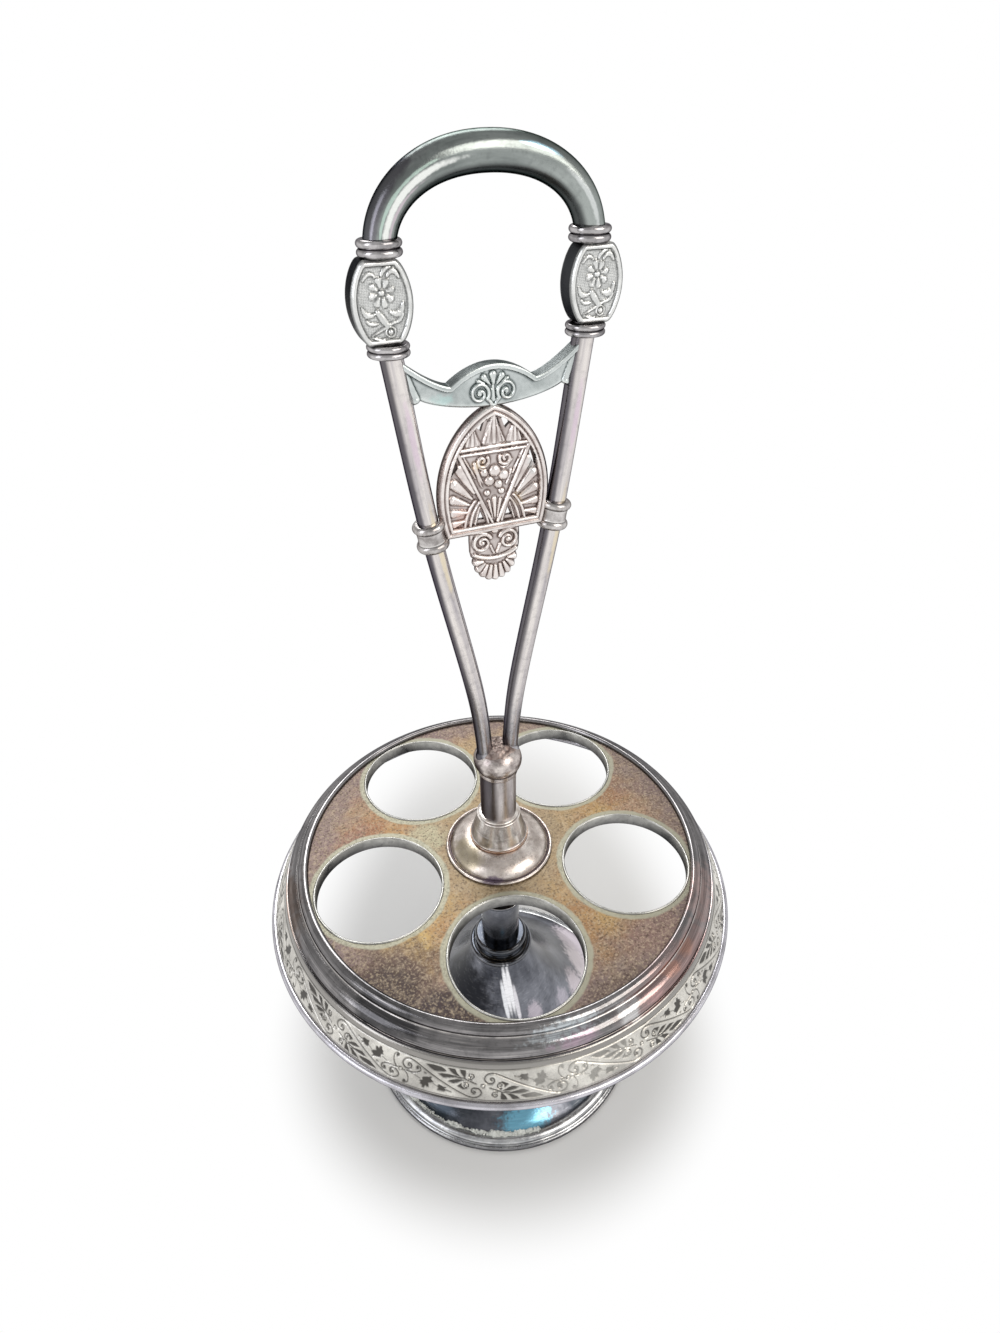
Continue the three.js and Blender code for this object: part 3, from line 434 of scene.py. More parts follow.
def swept(name: str, line: Array, radii: Array, sides: int = 40) -> bpy.types.Object:
    """A round bar along a line in the XZ plane, closed at both ends.

    Args:
        name: Name of the object.
        line: Rows of x and z along its middle.
        radii: Its radius at each row.
        sides: Facets round it.

    Returns:
        The bar, each point painted with its place across and along it.
    """
    along = np.gradient(line, axis=0)
    along /= np.linalg.norm(along, axis=1)[:, None]
    run = np.concatenate([[0.0], np.cumsum(np.linalg.norm(np.diff(line, axis=0), axis=1))])
    places = []
    grain = []
    for (x, z), (tx, tz), radius, length in zip(line, along, radii, run):
        for across, out, _ in circle(radius, 0, sides):
            places.append((x - tz * across, out, z + tx * across))
            grain.append((across, out, length))
    rings = numbered(len(line), sides)
    faces = [*skin(rings), rings[0][::-1], rings[-1]]
    obj = make_object(name, np.array(places), faces)
    outward(obj)
    paint(obj, "grain", grain)
    return obj


def outward(obj: bpy.types.Object) -> None:
    """Turns the faces of a closed mesh so that they point out.

    Args:
        obj: The object whose mesh is turned.
    """
    work = bmesh.new()
    work.from_mesh(obj.data)
    bmesh.ops.recalc_face_normals(work, faces=work.faces)
    work.to_mesh(obj.data)
    work.free()


# Relief


def trace(points: Sequence[Point], x: Array, y: Array) -> tuple[Array, Array]:
    """Nearest distance to a line of points, and how far along it that is.

    Args:
        points: The line.
        x: First coordinate of each place.
        y: Second coordinate of each place.

    Returns:
        The distances, and the shares of the line's length.
    """
    corners = np.array(points, float)
    steps = np.linalg.norm(np.diff(corners, axis=0), axis=1)
    total = max(float(steps.sum()), 1e-9)
    best = np.full(x.shape, np.inf)
    share = np.zeros(x.shape)
    run = 0.0
    for (ax, ay), (bx, by), length in zip(corners[:-1], corners[1:], steps):
        if length < 1e-9:
            continue
        t = np.clip(((x - ax) * (bx - ax) + (y - ay) * (by - ay)) / length**2, 0, 1)
        distance = np.hypot(x - ax - t * (bx - ax), y - ay - t * (by - ay))
        nearer = distance < best
        best = np.where(nearer, distance, best)
        share = np.where(nearer, (run + t * length) / total, share)
        run += length
    return best, share


@dataclass(frozen=True)
class Stroke:
    """A raised line with a round section, such as a scroll, a lobe, a rib or a bead.

    The widths are halves, at the two ends and in the middle.
    """

    points: tuple[Point, ...]
    start: float
    end: float
    height: float
    middle: float | None = None

    def raised(self, x: Array, y: Array) -> Array:
        """Height of the stroke, 0 away from it.

        Args:
            x: First coordinate of each place.
            y: Second coordinate of each place.

        Returns:
            The height at each place.
        """
        distance, share = trace(self.points, x, y)
        middle = (self.start + self.end) / 2 if self.middle is None else self.middle
        width = np.interp(share, [0, 0.5, 1], [self.start, middle, self.end])
        return self.height * np.sqrt(np.clip(1 - (distance / width) ** 2, 0, 1))

    def mirrored(self) -> "Stroke":
        """The same stroke on the other side of the middle line."""
        points = tuple((-x, y) for x, y in self.points)
        return Stroke(points, self.start, self.end, self.height, self.middle)


def bead(x: float, y: float, radius: float, height: float) -> Stroke:
    """A round bead as a stroke of no length."""
    return Stroke(((x, y), (x + 1e-3, y)), radius, radius, height)


def volute(middle: Point, radius: float, turns: float, first: float, steps: int = 26,
           power: float = 1.0) -> list[Point]:
    """Points of a spiral from its outer end to its eye.

    Args:
        middle: The eye.
        radius: Distance of the outer end from the eye.
        turns: How often it goes round, anticlockwise where positive.
        first: Direction of the outer end from the eye, in degrees.
        steps: How many stretches it is cut into.
        power: Above 1 the outer turn stays wide and the inner ones close up.

    Returns:
        steps + 1 points.
    """
    points = []
    for i in range(steps + 1):
        share = i / steps
        angle = math.radians(first + 360 * turns * share)
        reach = radius * (1 - 0.82 * share**power)
        points.append((middle[0] + reach * math.cos(angle), middle[1] + reach * math.sin(angle)))
    return points


def relief_of(strokes: Sequence[Stroke], x: Array, y: Array) -> Array:
    """Height of the highest stroke at each place, 0 away from all of them."""
    return np.max([stroke.raised(x, y) for stroke in strokes], axis=0)


def inside(loops: Sequence[Sequence[Point]], x: Array, y: Array) -> Array:
    """Whether each place lies inside the first of some closed outlines and outside the others.

    Args:
        loops: The outline's points, then those of each hole in it.
        x: First coordinate of each place.
        y: Second coordinate of each place.

    Returns:
        True or False for each place.
    """
    result = np.zeros(x.shape, bool)
    for loop in loops:
        for (ax, ay), (bx, by) in zip(loop, [*loop[1:], loop[0]]):
            crosses = (ay > y) != (by > y)
            result ^= crosses & (x < ax + (y - ay) * (bx - ax) / (by - ay if by != ay else 1e-12))
    return result


def resample(outline: Sequence[Point], spacing: float) -> list[Point]:
    """Even points round a closed outline, its sharp corners kept.

    Args:
        outline: Its corners.
        spacing: Distance between points.

    Returns:
        The points.
    """
    result: list[Point] = []
    for (ax, ay), (bx, by) in zip(outline, [*outline[1:], outline[0]]):
        count = max(1, round(math.hypot(bx - ax, by - ay) / spacing))
        result.extend((ax + (bx - ax) * k / count, ay + (by - ay) * k / count) for k in range(count))
    return result


def sheet(loops: Sequence[Sequence[Point]], within: Sequence[Point] = ()) -> tuple[Array, Array]:
    """Cuts the area inside a closed outline and outside its holes into triangles.

    Args:
        loops: The outline's points, then those of each hole.
        within: More points that the triangles meet.

    Returns:
        Rows of two coordinates, and rows of three point indices, anticlockwise.
    """
    points = [p for loop in loops for p in loop] + list(within)
    edges = []
    for loop in loops:
        start = len(edges)
        edges.extend((start + i, start + (i + 1) % len(loop)) for i in range(len(loop)))
    made = delaunay_2d_cdt([Vector(p) for p in points], edges, [], 1, 1e-6)
    flat = np.array([(v.x, v.y) for v in made[0]])
    triangles = np.array([f for f in made[2] if len(f) == 3])
    centre = flat[triangles].mean(axis=1)
    return flat, triangles[inside(loops, centre[:, 0], centre[:, 1])]


@dataclass
class ReliefPlate:
    """A flat casting in the XZ plane with the same relief on both faces.

    Args:
        name: Name of the object.
        outline: Closed outline in x and z, anticlockwise.
        height: Gives half the thickness at each place.
        holes: Closed outlines that are pierced through.
        spacing: Distance between the points of its mesh.
        hollow: Half thickness at which the surface counts as the bottom of a hollow.
        proud: Half thickness at which it counts as a bright, rubbed crest.
        wall_share: Half thickness of the dark side wall, as a share of the rim's.
        wall: How dark that wall is painted, as painted shade.
        ground: How dark the bottom of a hollow is.
        crevice: Depth below the neighbourhood that is painted fully dark, as painted shade.
    """

    name: str
    outline: Sequence[Point]
    height: Callable[[Array, Array], Array]
    holes: Sequence[Sequence[Point]] = ()
    spacing: float = 0.3
    hollow: float = 0.8
    proud: float = 1.8
    wall_share: float = 0.86
    wall: float = 0.95
    ground: float = 0.6
    crevice: float = 0.14

    def build(self) -> bpy.types.Object:
        """Makes the mesh, with its hollows painted for the material to darken, partly as tarnish and partly
        as painted shade.

        Returns:
            The closed casting.
        """
        row_step, least_gap = self.spacing * 0.866, self.spacing * 0.55
        loops = [resample(loop, self.spacing) for loop in (self.outline, *self.holes)]
        low, high = np.min(self.outline, axis=0), np.max(self.outline, axis=0)
        x, z = np.meshgrid(np.arange(low[0], high[0], self.spacing), np.arange(low[1], high[1], row_step))
        x[1::2] += self.spacing / 2
        near = np.min([trace([*loop, loop[0]], x, z)[0] for loop in loops], axis=0)
        keep = inside((self.outline, *self.holes), x, z) & (near > least_gap)
        return self.thicken(*sheet(loops, list(zip(x[keep].tolist(), z[keep].tolist()))))

    def thicken(self, flat: Array, triangles: Array) -> bpy.types.Object:
        """Gives the flat mesh its two relief faces and its edge.

        Args:
            flat: Rows of x and z.
            triangles: Rows of three point indices, anticlockwise.

        Returns:
            The closed casting.
        """
        half = self.height(flat[:, 0], flat[:, 1])
        count = len(flat)
        faces = [tuple(t) for t in triangles]
        faces += [(a + count, c + count, b + count) for a, b, c in triangles]
        border: dict[tuple[int, int], tuple[int, int]] = {}
        for a, b, c in triangles:
            for p, q in ((a, b), (b, c), (c, a)):
                key = (min(p, q), max(p, q))
                if border.pop(key, None) is None:
                    border[key] = (p, q)
        rim = sorted({p for edge in border for p in edge})
        first = {p: 2 * count + i for i, p in enumerate(rim)}
        gap = len(rim)
        for p, q in border.values():
            a, b = first[p], first[q]
            faces += [(q, p, a, b), (b, a, a + gap, b + gap), (b + gap, a + gap, p + count, q + count)]
        reach = self.wall_share * half[rim]
        across, up = flat.T
        places = np.vstack([np.c_[across, -half, up], np.c_[across, half, up],
                            np.c_[across[rim], -reach, up[rim]], np.c_[across[rim], reach, up[rim]]])
        obj = make_object(self.name, places, faces, 50)
        # painted: deep hollows dark, partly tarnish and partly painted shade; crevices beside raised relief
        # dark, painted shade; crests bright, partly rubbing and partly painted highlight; the side wall dark,
        # painted shade
        sunk = self.sunk(half, triangles)
        depth = 1 - smooth_step(half, self.hollow, self.proud)
        dirt_and_shade = np.clip(depth * self.ground + np.clip(sunk, 0, 1), 0, 1)
        for name, face_value, wall_value in (("hollow", dirt_and_shade, 0), ("wear_sheen_and_shade", np.clip(-sunk, 0, 1), 0),
                                             ("wall", np.zeros(count), self.wall)):
            paint(obj, name, np.concatenate([face_value, face_value, np.full(2 * gap, wall_value)]))
        return obj

    def sunk(self, half: Array, triangles: Array) -> Array:
        """How far each point lies below its neighbourhood.

        Args:
            half: Half the thickness at each point.
            triangles: Rows of three point indices.

        Returns:
            Up to 1 in a crevice and down to -1 on a crest.
        """
        pairs = np.vstack([triangles[:, [0, 1]], triangles[:, [1, 2]], triangles[:, [2, 0]]])
        ends = np.concatenate([pairs[:, 0], pairs[:, 1]])
        others = np.concatenate([pairs[:, 1], pairs[:, 0]])
        number = np.maximum(np.bincount(ends, minlength=len(half)), 1)
        smooth = half
        for _ in range(3):
            smooth = np.bincount(ends, weights=smooth[others], minlength=len(half)) / number
        return np.clip((smooth - half) / self.crevice, -1, 1)


# Finishes


def cloud(tree: Tree, place: Wire, size: float, low: float, high: float, stretch: float = 1.0,
          detail: float = 5.0) -> Wire:
    """A cloudy mask from 0 to 1.

    Args:
        tree: The material's tree.
        place: Position in millimetres.
        size: Size of a cloud in millimetres.
        low: Noise level that becomes 0.
        high: Noise level that becomes 1.
        stretch: How much longer a cloud is upwards.
        detail: How many finer clouds lie on it.

    Returns:
        The mask.
    """
    scaled = add(tree, "ShaderNodeVectorMath", {0: place, 1: (1, 1, 1 / stretch)}, operation="MULTIPLY")
    noise = add(tree, "ShaderNodeTexNoise",
                {"Vector": scaled, "Scale": 1 / size, "Detail": detail, "Roughness": 0.6})
    return add(tree, "ShaderNodeMapRange", {"Value": noise, "From Min": low, "From Max": high})


def border(tree: Tree, distance: Wire, ragged: Wire, reach: Point3, full: float) -> Wire:
    """Mask of what lies past a ragged border.

    Args:
        tree: The material's tree.
        distance: Distance that is compared.
        ragged: Cloudy mask that moves the border.
        reach: Distance where the mask is 0, distance where it is full, and how far the border wanders.
        full: The mask's highest value.

    Returns:
        The mask.
    """
    start, end, wander = reach
    moved = add(tree, "ShaderNodeMath", {0: ragged, 1: wander, 2: distance}, operation="MULTIPLY_ADD")
    return add(tree, "ShaderNodeMapRange",
               {"Value": moved, "From Min": start + wander / 2, "From Max": end + wander / 2, "To Max": full},
               interpolation_type="SMOOTHSTEP")


def reach_from(tree: Tree, place: Wire, centre: Point3, size: Point3) -> Wire:
    """Distance from a centre, as a share of a size in x, y and z.

    Args:
        tree: The material's tree.
        place: Position in millimetres.
        centre: Where it is 0.
        size: Half widths at which it is 1.

    Returns:
        The share.
    """
    offset = add(tree, "ShaderNodeVectorMath", {0: place, 1: centre}, operation="SUBTRACT")
    ratio = add(tree, "ShaderNodeVectorMath", {0: offset, 1: size}, operation="DIVIDE")
    return add(tree, "ShaderNodeVectorMath", {0: ratio}, operation="LENGTH")


def from_axis(tree: Tree, place: Wire) -> tuple[Wire, Wire]:
    """Level part of a position, and its distance from the stand's axis."""
    level = add(tree, "ShaderNodeVectorMath", {0: place, 1: (1, 1, 0)}, operation="MULTIPLY")
    return level, add(tree, "ShaderNodeVectorMath", {0: level}, operation="LENGTH")


@dataclass(frozen=True)
class Spot:
    """A patch of another colour on a finish: tarnish, residue or a rubbed place, and also painted shade,
    highlights and reflections.

    The size is the half width in x, y and z, and edge is how ragged its border is.
    """

    centre: Point3
    size: Point3
    colour: str
    strength: float = 1.0
    grain_mm: float = 4.0
    edge: float = 0.5


@dataclass(frozen=True)
class Finish:
    """Silver plate on brass, polished and then aged: cloudy patches, hairlines, and darker hollows and
    grooves, partly tarnish and partly painted shade.
    """

    name: str
    clean: str
    aged: str
    deep: str
    roughness: float = 0.2
    metallic: float = 1.0
    patch_mm: float = 14.0
    streak: float = 1.0
    bump_mm: float = 0.02
    grain_mm: float = 0.5
    contrast: float = 0.14
    # edge colour: rubbed edges and crests, partly rubbing and partly painted highlight; wall colour: painted
    # shade on the side walls of castings
    edge: str = "#f1eeea"
    wall: str = "#3b3c3f"
    grazing: str = "#ffffff"
    spun: float = 0.0
    spots: tuple[Spot, ...] = ()

    def material(self) -> bpy.types.Material:
        """Gives the material of this finish, made once.

        Returns:
            The material.
        """
        found = bpy.data.materials.get(self.name)
        if found:
            return found
        material = bpy.data.materials.new(self.name)
        material.use_nodes = True
        tree = material.node_tree
        tree.nodes.clear()
        base, layers, inputs = self.surface(tree, self.place(tree))
        colour = linear(base)
        for mask, shade in layers:
            colour = add(tree, "ShaderNodeMix", {0: mask, 6: colour, 7: linear(shade)}, data_type="RGBA")
        shader = add(tree, "ShaderNodeBsdfPrincipled",
                     {"Base Color": colour, "Metallic": self.metallic,
                      "Specular Tint": linear(self.grazing), **inputs})
        add(tree, "ShaderNodeOutputMaterial", {"Surface": shader})
        return material

    def place(self, tree: Tree) -> Wire:
        """Position in the stand, in millimetres."""
        where = add(tree, "ShaderNodeTexCoord").outputs["Object"]
        return add(tree, "ShaderNodeVectorMath", {0: where, "Scale": 1 / MM}, operation="SCALE")

    def marks(self, tree: Tree, place: Wire) -> list[Layer]:
        """The finish's spots.

        Args:
            tree: The material's tree.
            place: Position in millimetres.

        Returns:
            Mask and colour of each.
        """
        layers = []
        for spot in self.spots:
            reach = reach_from(tree, place, spot.centre, spot.size)
            ragged = cloud(tree, place, spot.grain_mm, 0.25, 0.75)
            half = spot.edge / 2
            mask = border(tree, reach, ragged, (1 - half, 0.55 - half, -spot.edge), spot.strength)
            layers.append((mask, spot.colour))
        return layers

    def rings(self, tree: Tree, place: Wire) -> list[Layer]:
        """Fine broken rings, dark and bright, that spinning and polishing leave round the axis.

        Args:
            tree: The material's tree.
            place: Position in millimetres.

        Returns:
            Mask and colour of each kind of ring, or nothing where the piece isn't spun.
        """
        if not self.spun:
            return []
        around, per_mm = 7.0, 2.4
        level, radius = from_axis(tree, place)
        facing = add(tree, "ShaderNodeVectorMath", {0: level}, operation="NORMALIZE")
        facing = add(tree, "ShaderNodeVectorMath", {0: facing, "Scale": around}, operation="SCALE")
        out = add(tree, "ShaderNodeMath", {0: radius, 1: per_mm}, operation="MULTIPLY")
        lift = add(tree, "ShaderNodeCombineXYZ", {"Z": out})
        spot = add(tree, "ShaderNodeVectorMath", {0: facing, 1: lift}, operation="ADD")
        height = add(tree, "ShaderNodeSeparateXYZ", {0: place}).outputs["Z"]
        up = add(tree, "ShaderNodeMath", {0: height, 1: per_mm}, operation="MULTIPLY")
        noise = add(tree, "ShaderNodeTexNoise", {"Vector": spot, "W": up, "Scale": 1.0, "Detail": 3.0},
                    noise_dimensions="4D")
        layers = []
        for start, end, shade in ((0.45, 0.7, self.deep), (0.4, 0.26, self.edge)):
            mask = add(tree, "ShaderNodeMapRange",
                       {"Value": noise, "From Min": start, "From Max": end, "To Max": self.spun})
            layers.append((mask, shade))
        return layers

    def surface(self, tree: Tree, place: Wire) -> tuple[str, list[Layer], dict[str, Wire]]:
        """Colours, roughness and bump of the finish.

        Args:
            tree: The material's tree.
            place: Position in millimetres.

        Returns:
            The lowest colour, the mask and colour of each layer on it, and the shader's other inputs.
        """
        patches = cloud(tree, place, self.patch_mm, 0.5 - self.contrast, 0.5 + self.contrast, self.streak)
        # hollows and grooves darkened, partly tarnish and partly painted shade; edges and crests brightened,
        # partly rubbing and partly painted highlight; casting side walls darkened, painted shade
        hollow, wear_sheen_and_shade, wall = (add(tree, "ShaderNodeAttribute", attribute_name=name).outputs["Fac"]
                              for name in ("hollow", "wear_sheen_and_shade", "wall"))
        sunk = add(tree, "ShaderNodeMath", {0: hollow, 1: wear_sheen_and_shade}, operation="SUBTRACT")
        fine = cloud(tree, place, self.grain_mm * 4, 0.5, 0.78)
        dirt_and_shade = add(tree, "ShaderNodeMath", {0: fine, 1: 0.35, 2: sunk}, operation="MULTIPLY_ADD",
                   use_clamp=True)
        patchy = cloud(tree, place, 5.0, 0.25, 0.6)
        bright = add(tree, "ShaderNodeMath", {0: wear_sheen_and_shade, 1: patchy}, operation="MULTIPLY", use_clamp=True)
        layers = [(patches, self.clean), (dirt_and_shade, self.deep), *self.marks(tree, place),
                  *self.rings(tree, place), (bright, self.edge), (wall, self.wall)]
        rubbed = cloud(tree, place, self.patch_mm * 0.4, 0.3, 0.75, self.streak)
        rough = add(tree, "ShaderNodeMapRange",
                    {"Value": rubbed, "To Min": self.roughness * 0.75, "To Max": self.roughness * 1.5})
        grain = add(tree, "ShaderNodeTexNoise",
                    {"Vector": place, "Scale": 1 / self.grain_mm, "Detail": 3.0, "Roughness": 0.6})
        bump = add(tree, "ShaderNodeBump", {"Height": grain, "Distance": self.bump_mm * MM})
        return self.aged, layers, {"Roughness": rough, "Normal": bump}


@dataclass(frozen=True)
class DrawnBar(Finish):
    """Drawn bar, its tarnish in long streaks: bright where it is handled, partly rubbing and partly painted
    highlight, with dark flanks of painted shade.

    With one_side at 0 both flanks are alike, and above 0 the one towards +X is the darker.
    """

    flank_shade: str = "#56515a"
    flank_from: float = 0.55
    flank_to: float = 0.95
    one_side: float = 0.0

    def place(self, tree: Tree) -> Wire:
        """Position across and along the bar, in millimetres."""
        return add(tree, "ShaderNodeAttribute", attribute_name="grain").outputs["Vector"]

    def marks(self, tree: Tree, place: Wire) -> list[Layer]:
        """The finish's spots and the dark flanks of painted shade.

        Args:
            tree: The material's tree.
            place: Position across and along the bar, in millimetres.

        Returns:
            Mask and colour of each.
        """
        across = add(tree, "ShaderNodeSeparateXYZ", {0: place}).outputs["X"]
        away = add(tree, "ShaderNodeMath", {0: across}, operation="ABSOLUTE")
        reach = add(tree, "ShaderNodeMath", {0: across, 1: self.one_side, 2: away}, operation="MULTIPLY_ADD")
        ragged = cloud(tree, place, 2.2, 0.2, 0.8, 22.0)
        # painted shade on the bar's flanks, one of them darker
        mask = border(tree, reach, ragged, (self.flank_from, self.flank_to, 0.7), 0.85)
        return [*super().marks(tree, place), (mask, self.flank_shade)]


@dataclass(frozen=True)
class TarnishedPlate(Finish):
    """Silver plate gone granular brown and gold, pale round the holes and grey towards the rim."""

    gold: str = "#967e50"
    brown: str = "#79553c"
    rim: str = "#66595a"
    halo: str = "#8f8d7c"
    halo_mm: float = 1.9
    middle_mm: float = 34.0
    rim_mm: float = 78.0
    hole_radius: float = 26.0
    holes: tuple[Point, ...] = ()

    def surface(self, tree: Tree, place: Wire) -> tuple[str, list[Layer], dict[str, Wire]]:
        """Colours, roughness and bump, from the distances to the axis and to the nearest hole.

        Args:
            tree: The material's tree.
            place: Position in millimetres.

        Returns:
            The lowest colour, the mask and colour of each layer on it, and the shader's other inputs.
        """
        level, radius = from_axis(tree, place)
        nearest, *others = [add(tree, "ShaderNodeVectorMath", {0: level, 1: (x, y, 0)}, operation="DISTANCE")
                            for x, y in self.holes]
        for other in others:
            nearest = add(tree, "ShaderNodeMath", {0: nearest, 1: other}, operation="MINIMUM")
        broad = cloud(tree, place, 34.0, 0.36, 0.62, detail=3.0)
        ragged = cloud(tree, place, 7.0, 0.3, 0.7)
        outer = border(tree, radius, ragged, (self.rim_mm - 26, self.rim_mm, 12.0), 0.85)
        inner = border(tree, radius, ragged, (self.middle_mm + 12, self.middle_mm - 12, 12.0), 0.85)
        layers = [(broad, self.gold), (outer, self.rim), (inner, self.aged), *self.marks(tree, place)]
        clumps = cloud(tree, place, 2.6, 0.5, 0.7)
        grains = cloud(tree, place, self.grain_mm * 1.8, 0.5, 0.66, detail=3.0)
        shifted = add(tree, "ShaderNodeVectorMath", {0: place, 1: (31, 17, 5)}, operation="ADD")
        pits = cloud(tree, shifted, self.grain_mm * 1.8, 0.52, 0.66, detail=3.0)
        for mask, amount, shade in ((clumps, 0.25, self.clean), (grains, 0.5, self.clean),
                                    (pits, 0.72, self.deep)):
            layers.append((add(tree, "ShaderNodeMath", {0: mask, 1: amount}, operation="MULTIPLY"), shade))
        wide = cloud(tree, place, 22.0, 0.3, 0.7, detail=6.0)
        reach = self.hole_radius + self.halo_mm
        layers.append((border(tree, nearest, wide, (reach + 0.5, reach - 0.5, -1.6), 0.92), self.halo))
        rough = add(tree, "ShaderNodeMapRange",
                    {"Value": grains, "To Min": self.roughness, "To Max": self.roughness * 1.4})
        bump = add(tree, "ShaderNodeBump", {"Height": grains, "Distance": self.bump_mm * MM, "Strength": 0.6})
        return self.brown, layers, {"Roughness": rough, "Normal": bump}


@dataclass(frozen=True)
class EngravedBand(Finish):
    """Frosted silver plate with bright-cut ornament, dark with old polish in every cut.

    The strips above and below the ornament are plain, polished and tarnished.
    """

    plain: str = "#9a9793"
    worn_at: Point3 = (-6.0, -92.0, 119.0)
    worn_size: Point3 = (25.0, 14.0, 14.0)

    def surface(self, tree: Tree, place: Wire) -> tuple[str, list[Layer], dict[str, Wire]]:
        """Colours, roughness and bump, from the painted depth of the cuts.

        Args:
            tree: The material's tree.
            place: Position in millimetres.

        Returns:
            The lowest colour, the mask and colour of each layer on it, and the shader's other inputs.
        """
        clouds = cloud(tree, place, self.patch_mm, 0.35, 0.68)
        frost = add(tree, "ShaderNodeTexNoise",
                    {"Vector": place, "Scale": 1 / self.grain_mm, "Detail": 2.0, "Roughness": 0.7})
        speck = add(tree, "ShaderNodeMapRange",
                    {"Value": frost, "From Min": 0.5, "From Max": 0.72, "To Max": 0.35})
        polish, hollow = (add(tree, "ShaderNodeAttribute", attribute_name=name).outputs["Fac"]
                          for name in ("polish", "hollow"))
        left = add(tree, "ShaderNodeMapRange",
                   {"Value": reach_from(tree, place, self.worn_at, self.worn_size), "From Min": 0.6,
                    "From Max": 1.1, "To Min": 0.5, "To Max": 0.94}, interpolation_type="SMOOTHSTEP")
        ink = add(tree, "ShaderNodeMath", {0: hollow, 1: left}, operation="MULTIPLY")
        layers = [(clouds, self.clean), (speck, self.deep), (polish, self.plain), (ink, self.deep),
                  *self.marks(tree, place)]
        rough = add(tree, "ShaderNodeMapRange",
                    {"Value": polish, "To Min": self.roughness, "To Max": self.roughness * 0.45})
        bump = add(tree, "ShaderNodeBump", {"Height": frost, "Distance": self.bump_mm * MM})
        return self.aged, layers, {"Roughness": rough, "Normal": bump}


def hole_middles() -> tuple[Point, ...]:
    """Middle of each bottle hole, from its collar in the frame."""
    return tuple(box(n).middle for n in sorted(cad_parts) if n.startswith("bottle_collar"))


# Heavily tarnished mirror plate: near black where it faces dark, its edges rubbed bright and partly painted
# as highlight, with painted reflections, highlights and glints at the front.
DARK = Finish("dark_plate", "#a3a0a0", "#6f6d6e", "#2a2a2b", roughness=0.15, patch_mm=30, contrast=0.22,
              grazing="#a4a4a6", edge="#d6d1cd", spun=0.45,
              # painted reflection: a broad pink-grey zone on the right
              spots=(Spot((56, -48, 130), (30, 24, 12), "#c9aaa4", 0.6, 3.0, 0.4),
                     Spot((-90, 6, 128), (18, 36, 16), "#6e5e54", 0.7, 4.0, 0.5),
                     Spot((36, -74, 129), (44, 28, 9), "#ac8f8b", 0.75, 6.0, 0.3),
                     # painted reflections: orange and pink streaks along the bead at the front
                     Spot((45, -70, 131), (8, 6, 4), "#c79682", 0.6, 3.0, 0.4),
                     Spot((36, -76, 131), (9, 5, 4), "#cc9a88", 0.6, 3.0, 0.4),
                     Spot((24, -82, 129), (11, 5, 4), "#cfa6a4", 0.6, 1.6, 0.5),
                     Spot((-6, -85, 129), (16, 6, 5), "#b79cae", 0.65, 3.0, 0.5),
                     Spot((-62, -52, 131), (34, 26, 12), "#3c3c3e", 0.8, 7.0, 0.6),
                     # painted highlight and painted window reflection on the crest at the front
                     Spot((14, -84, 128), (10, 8, 8), "#dcdcdc", 0.8, 4.0, 0.6),
                     Spot((-12, -84, 133), (30, 7, 5), "#d3dade", 0.85, 1.6, 0.6),
                     # painted glints: small cream highlights on the left
                     Spot((-72, -40, 131), (1.6, 1.6, 1.6), "#e6e2dc", 0.9, 0.8, 0.6),
                     Spot((-58, -58, 132), (2.6, 1.2, 1.6), "#e6e2dc", 0.8, 0.8, 0.7),
                     Spot((-40, -72, 131), (1.8, 1.4, 1.4), "#dcd8d2", 0.8, 0.8, 0.7)))
# Black-blue tarnish under the tray, where no cloth reaches, with painted shade and painted window
# reflections, one of them blue.
BELL = Finish("bell_plate", "#83858d", "#45474e", "#1b1d22", roughness=0.12, patch_mm=18, streak=3.0,
              spun=0.15,
              # painted shade: two dark patches low on the bell, over the lamps' reflections
              spots=(Spot((-56, -26, 9), (44, 36, 26), "#2f363c", 0.95, 5.0, 0.3),
                     Spot((30, -52, 8), (30, 24, 22), "#2f353b", 0.96, 4.0, 0.3),
                     # painted reflection: a blue window reflection low on the front of the bell
                     Spot((-11, -56, 6.5), (20, 16, 14), "#86c6e0", 0.95, 2.0, 0.5),
                     # painted reflections: pale lilac patches up the right side of the bell
                     Spot((50, 20, 8), (14, 26, 12), "#dcd2da", 0.9, 2.5, 0.4),
                     Spot((46, 2, 14), (14, 24, 14), "#e6dde2", 0.95, 2.5, 0.4),
                     Spot((37, -12, 23), (13, 15, 12), "#d2c8ce", 0.9, 2.0, 0.4),
                     Spot((25, -20, 31), (9, 9, 9), "#b9b4be", 0.8, 2.0, 0.5),
                     Spot((7, -25, 38), (7, 8, 9), "#c2b9c2", 0.8, 1.6, 0.5),
                     # painted shade: the dark left of the bell seen through the front hole
                     Spot((-24, -8, 44), (24, 38, 40), "#222327", 0.95, 4.0, 0.35),
                     # painted shade on the pedestal collar, over the lamps' reflections
                     Spot((0, 0, 71), (34, 34, 8.5), "#3d4148", 0.9, 3.0, 0.2),
                     # painted reflections: thin pale window streaks down the bell in the front hole
                     Spot((-5.9, -20, 47), (1.5, 13, 16), "#e9eaee", 1.0, 3.0, 0.2),
                     Spot((-4.2, -18, 52), (1.5, 13, 22), "#f2f2f5", 1.0, 3.0, 0.2),
                     Spot((-2.5, -18, 52), (1.5, 13, 22), "#f2f2f5", 1.0, 3.0, 0.2),
                     Spot((-0.8, -22, 45), (1.5, 11, 14), "#e3e1e6", 0.95, 3.0, 0.2)))
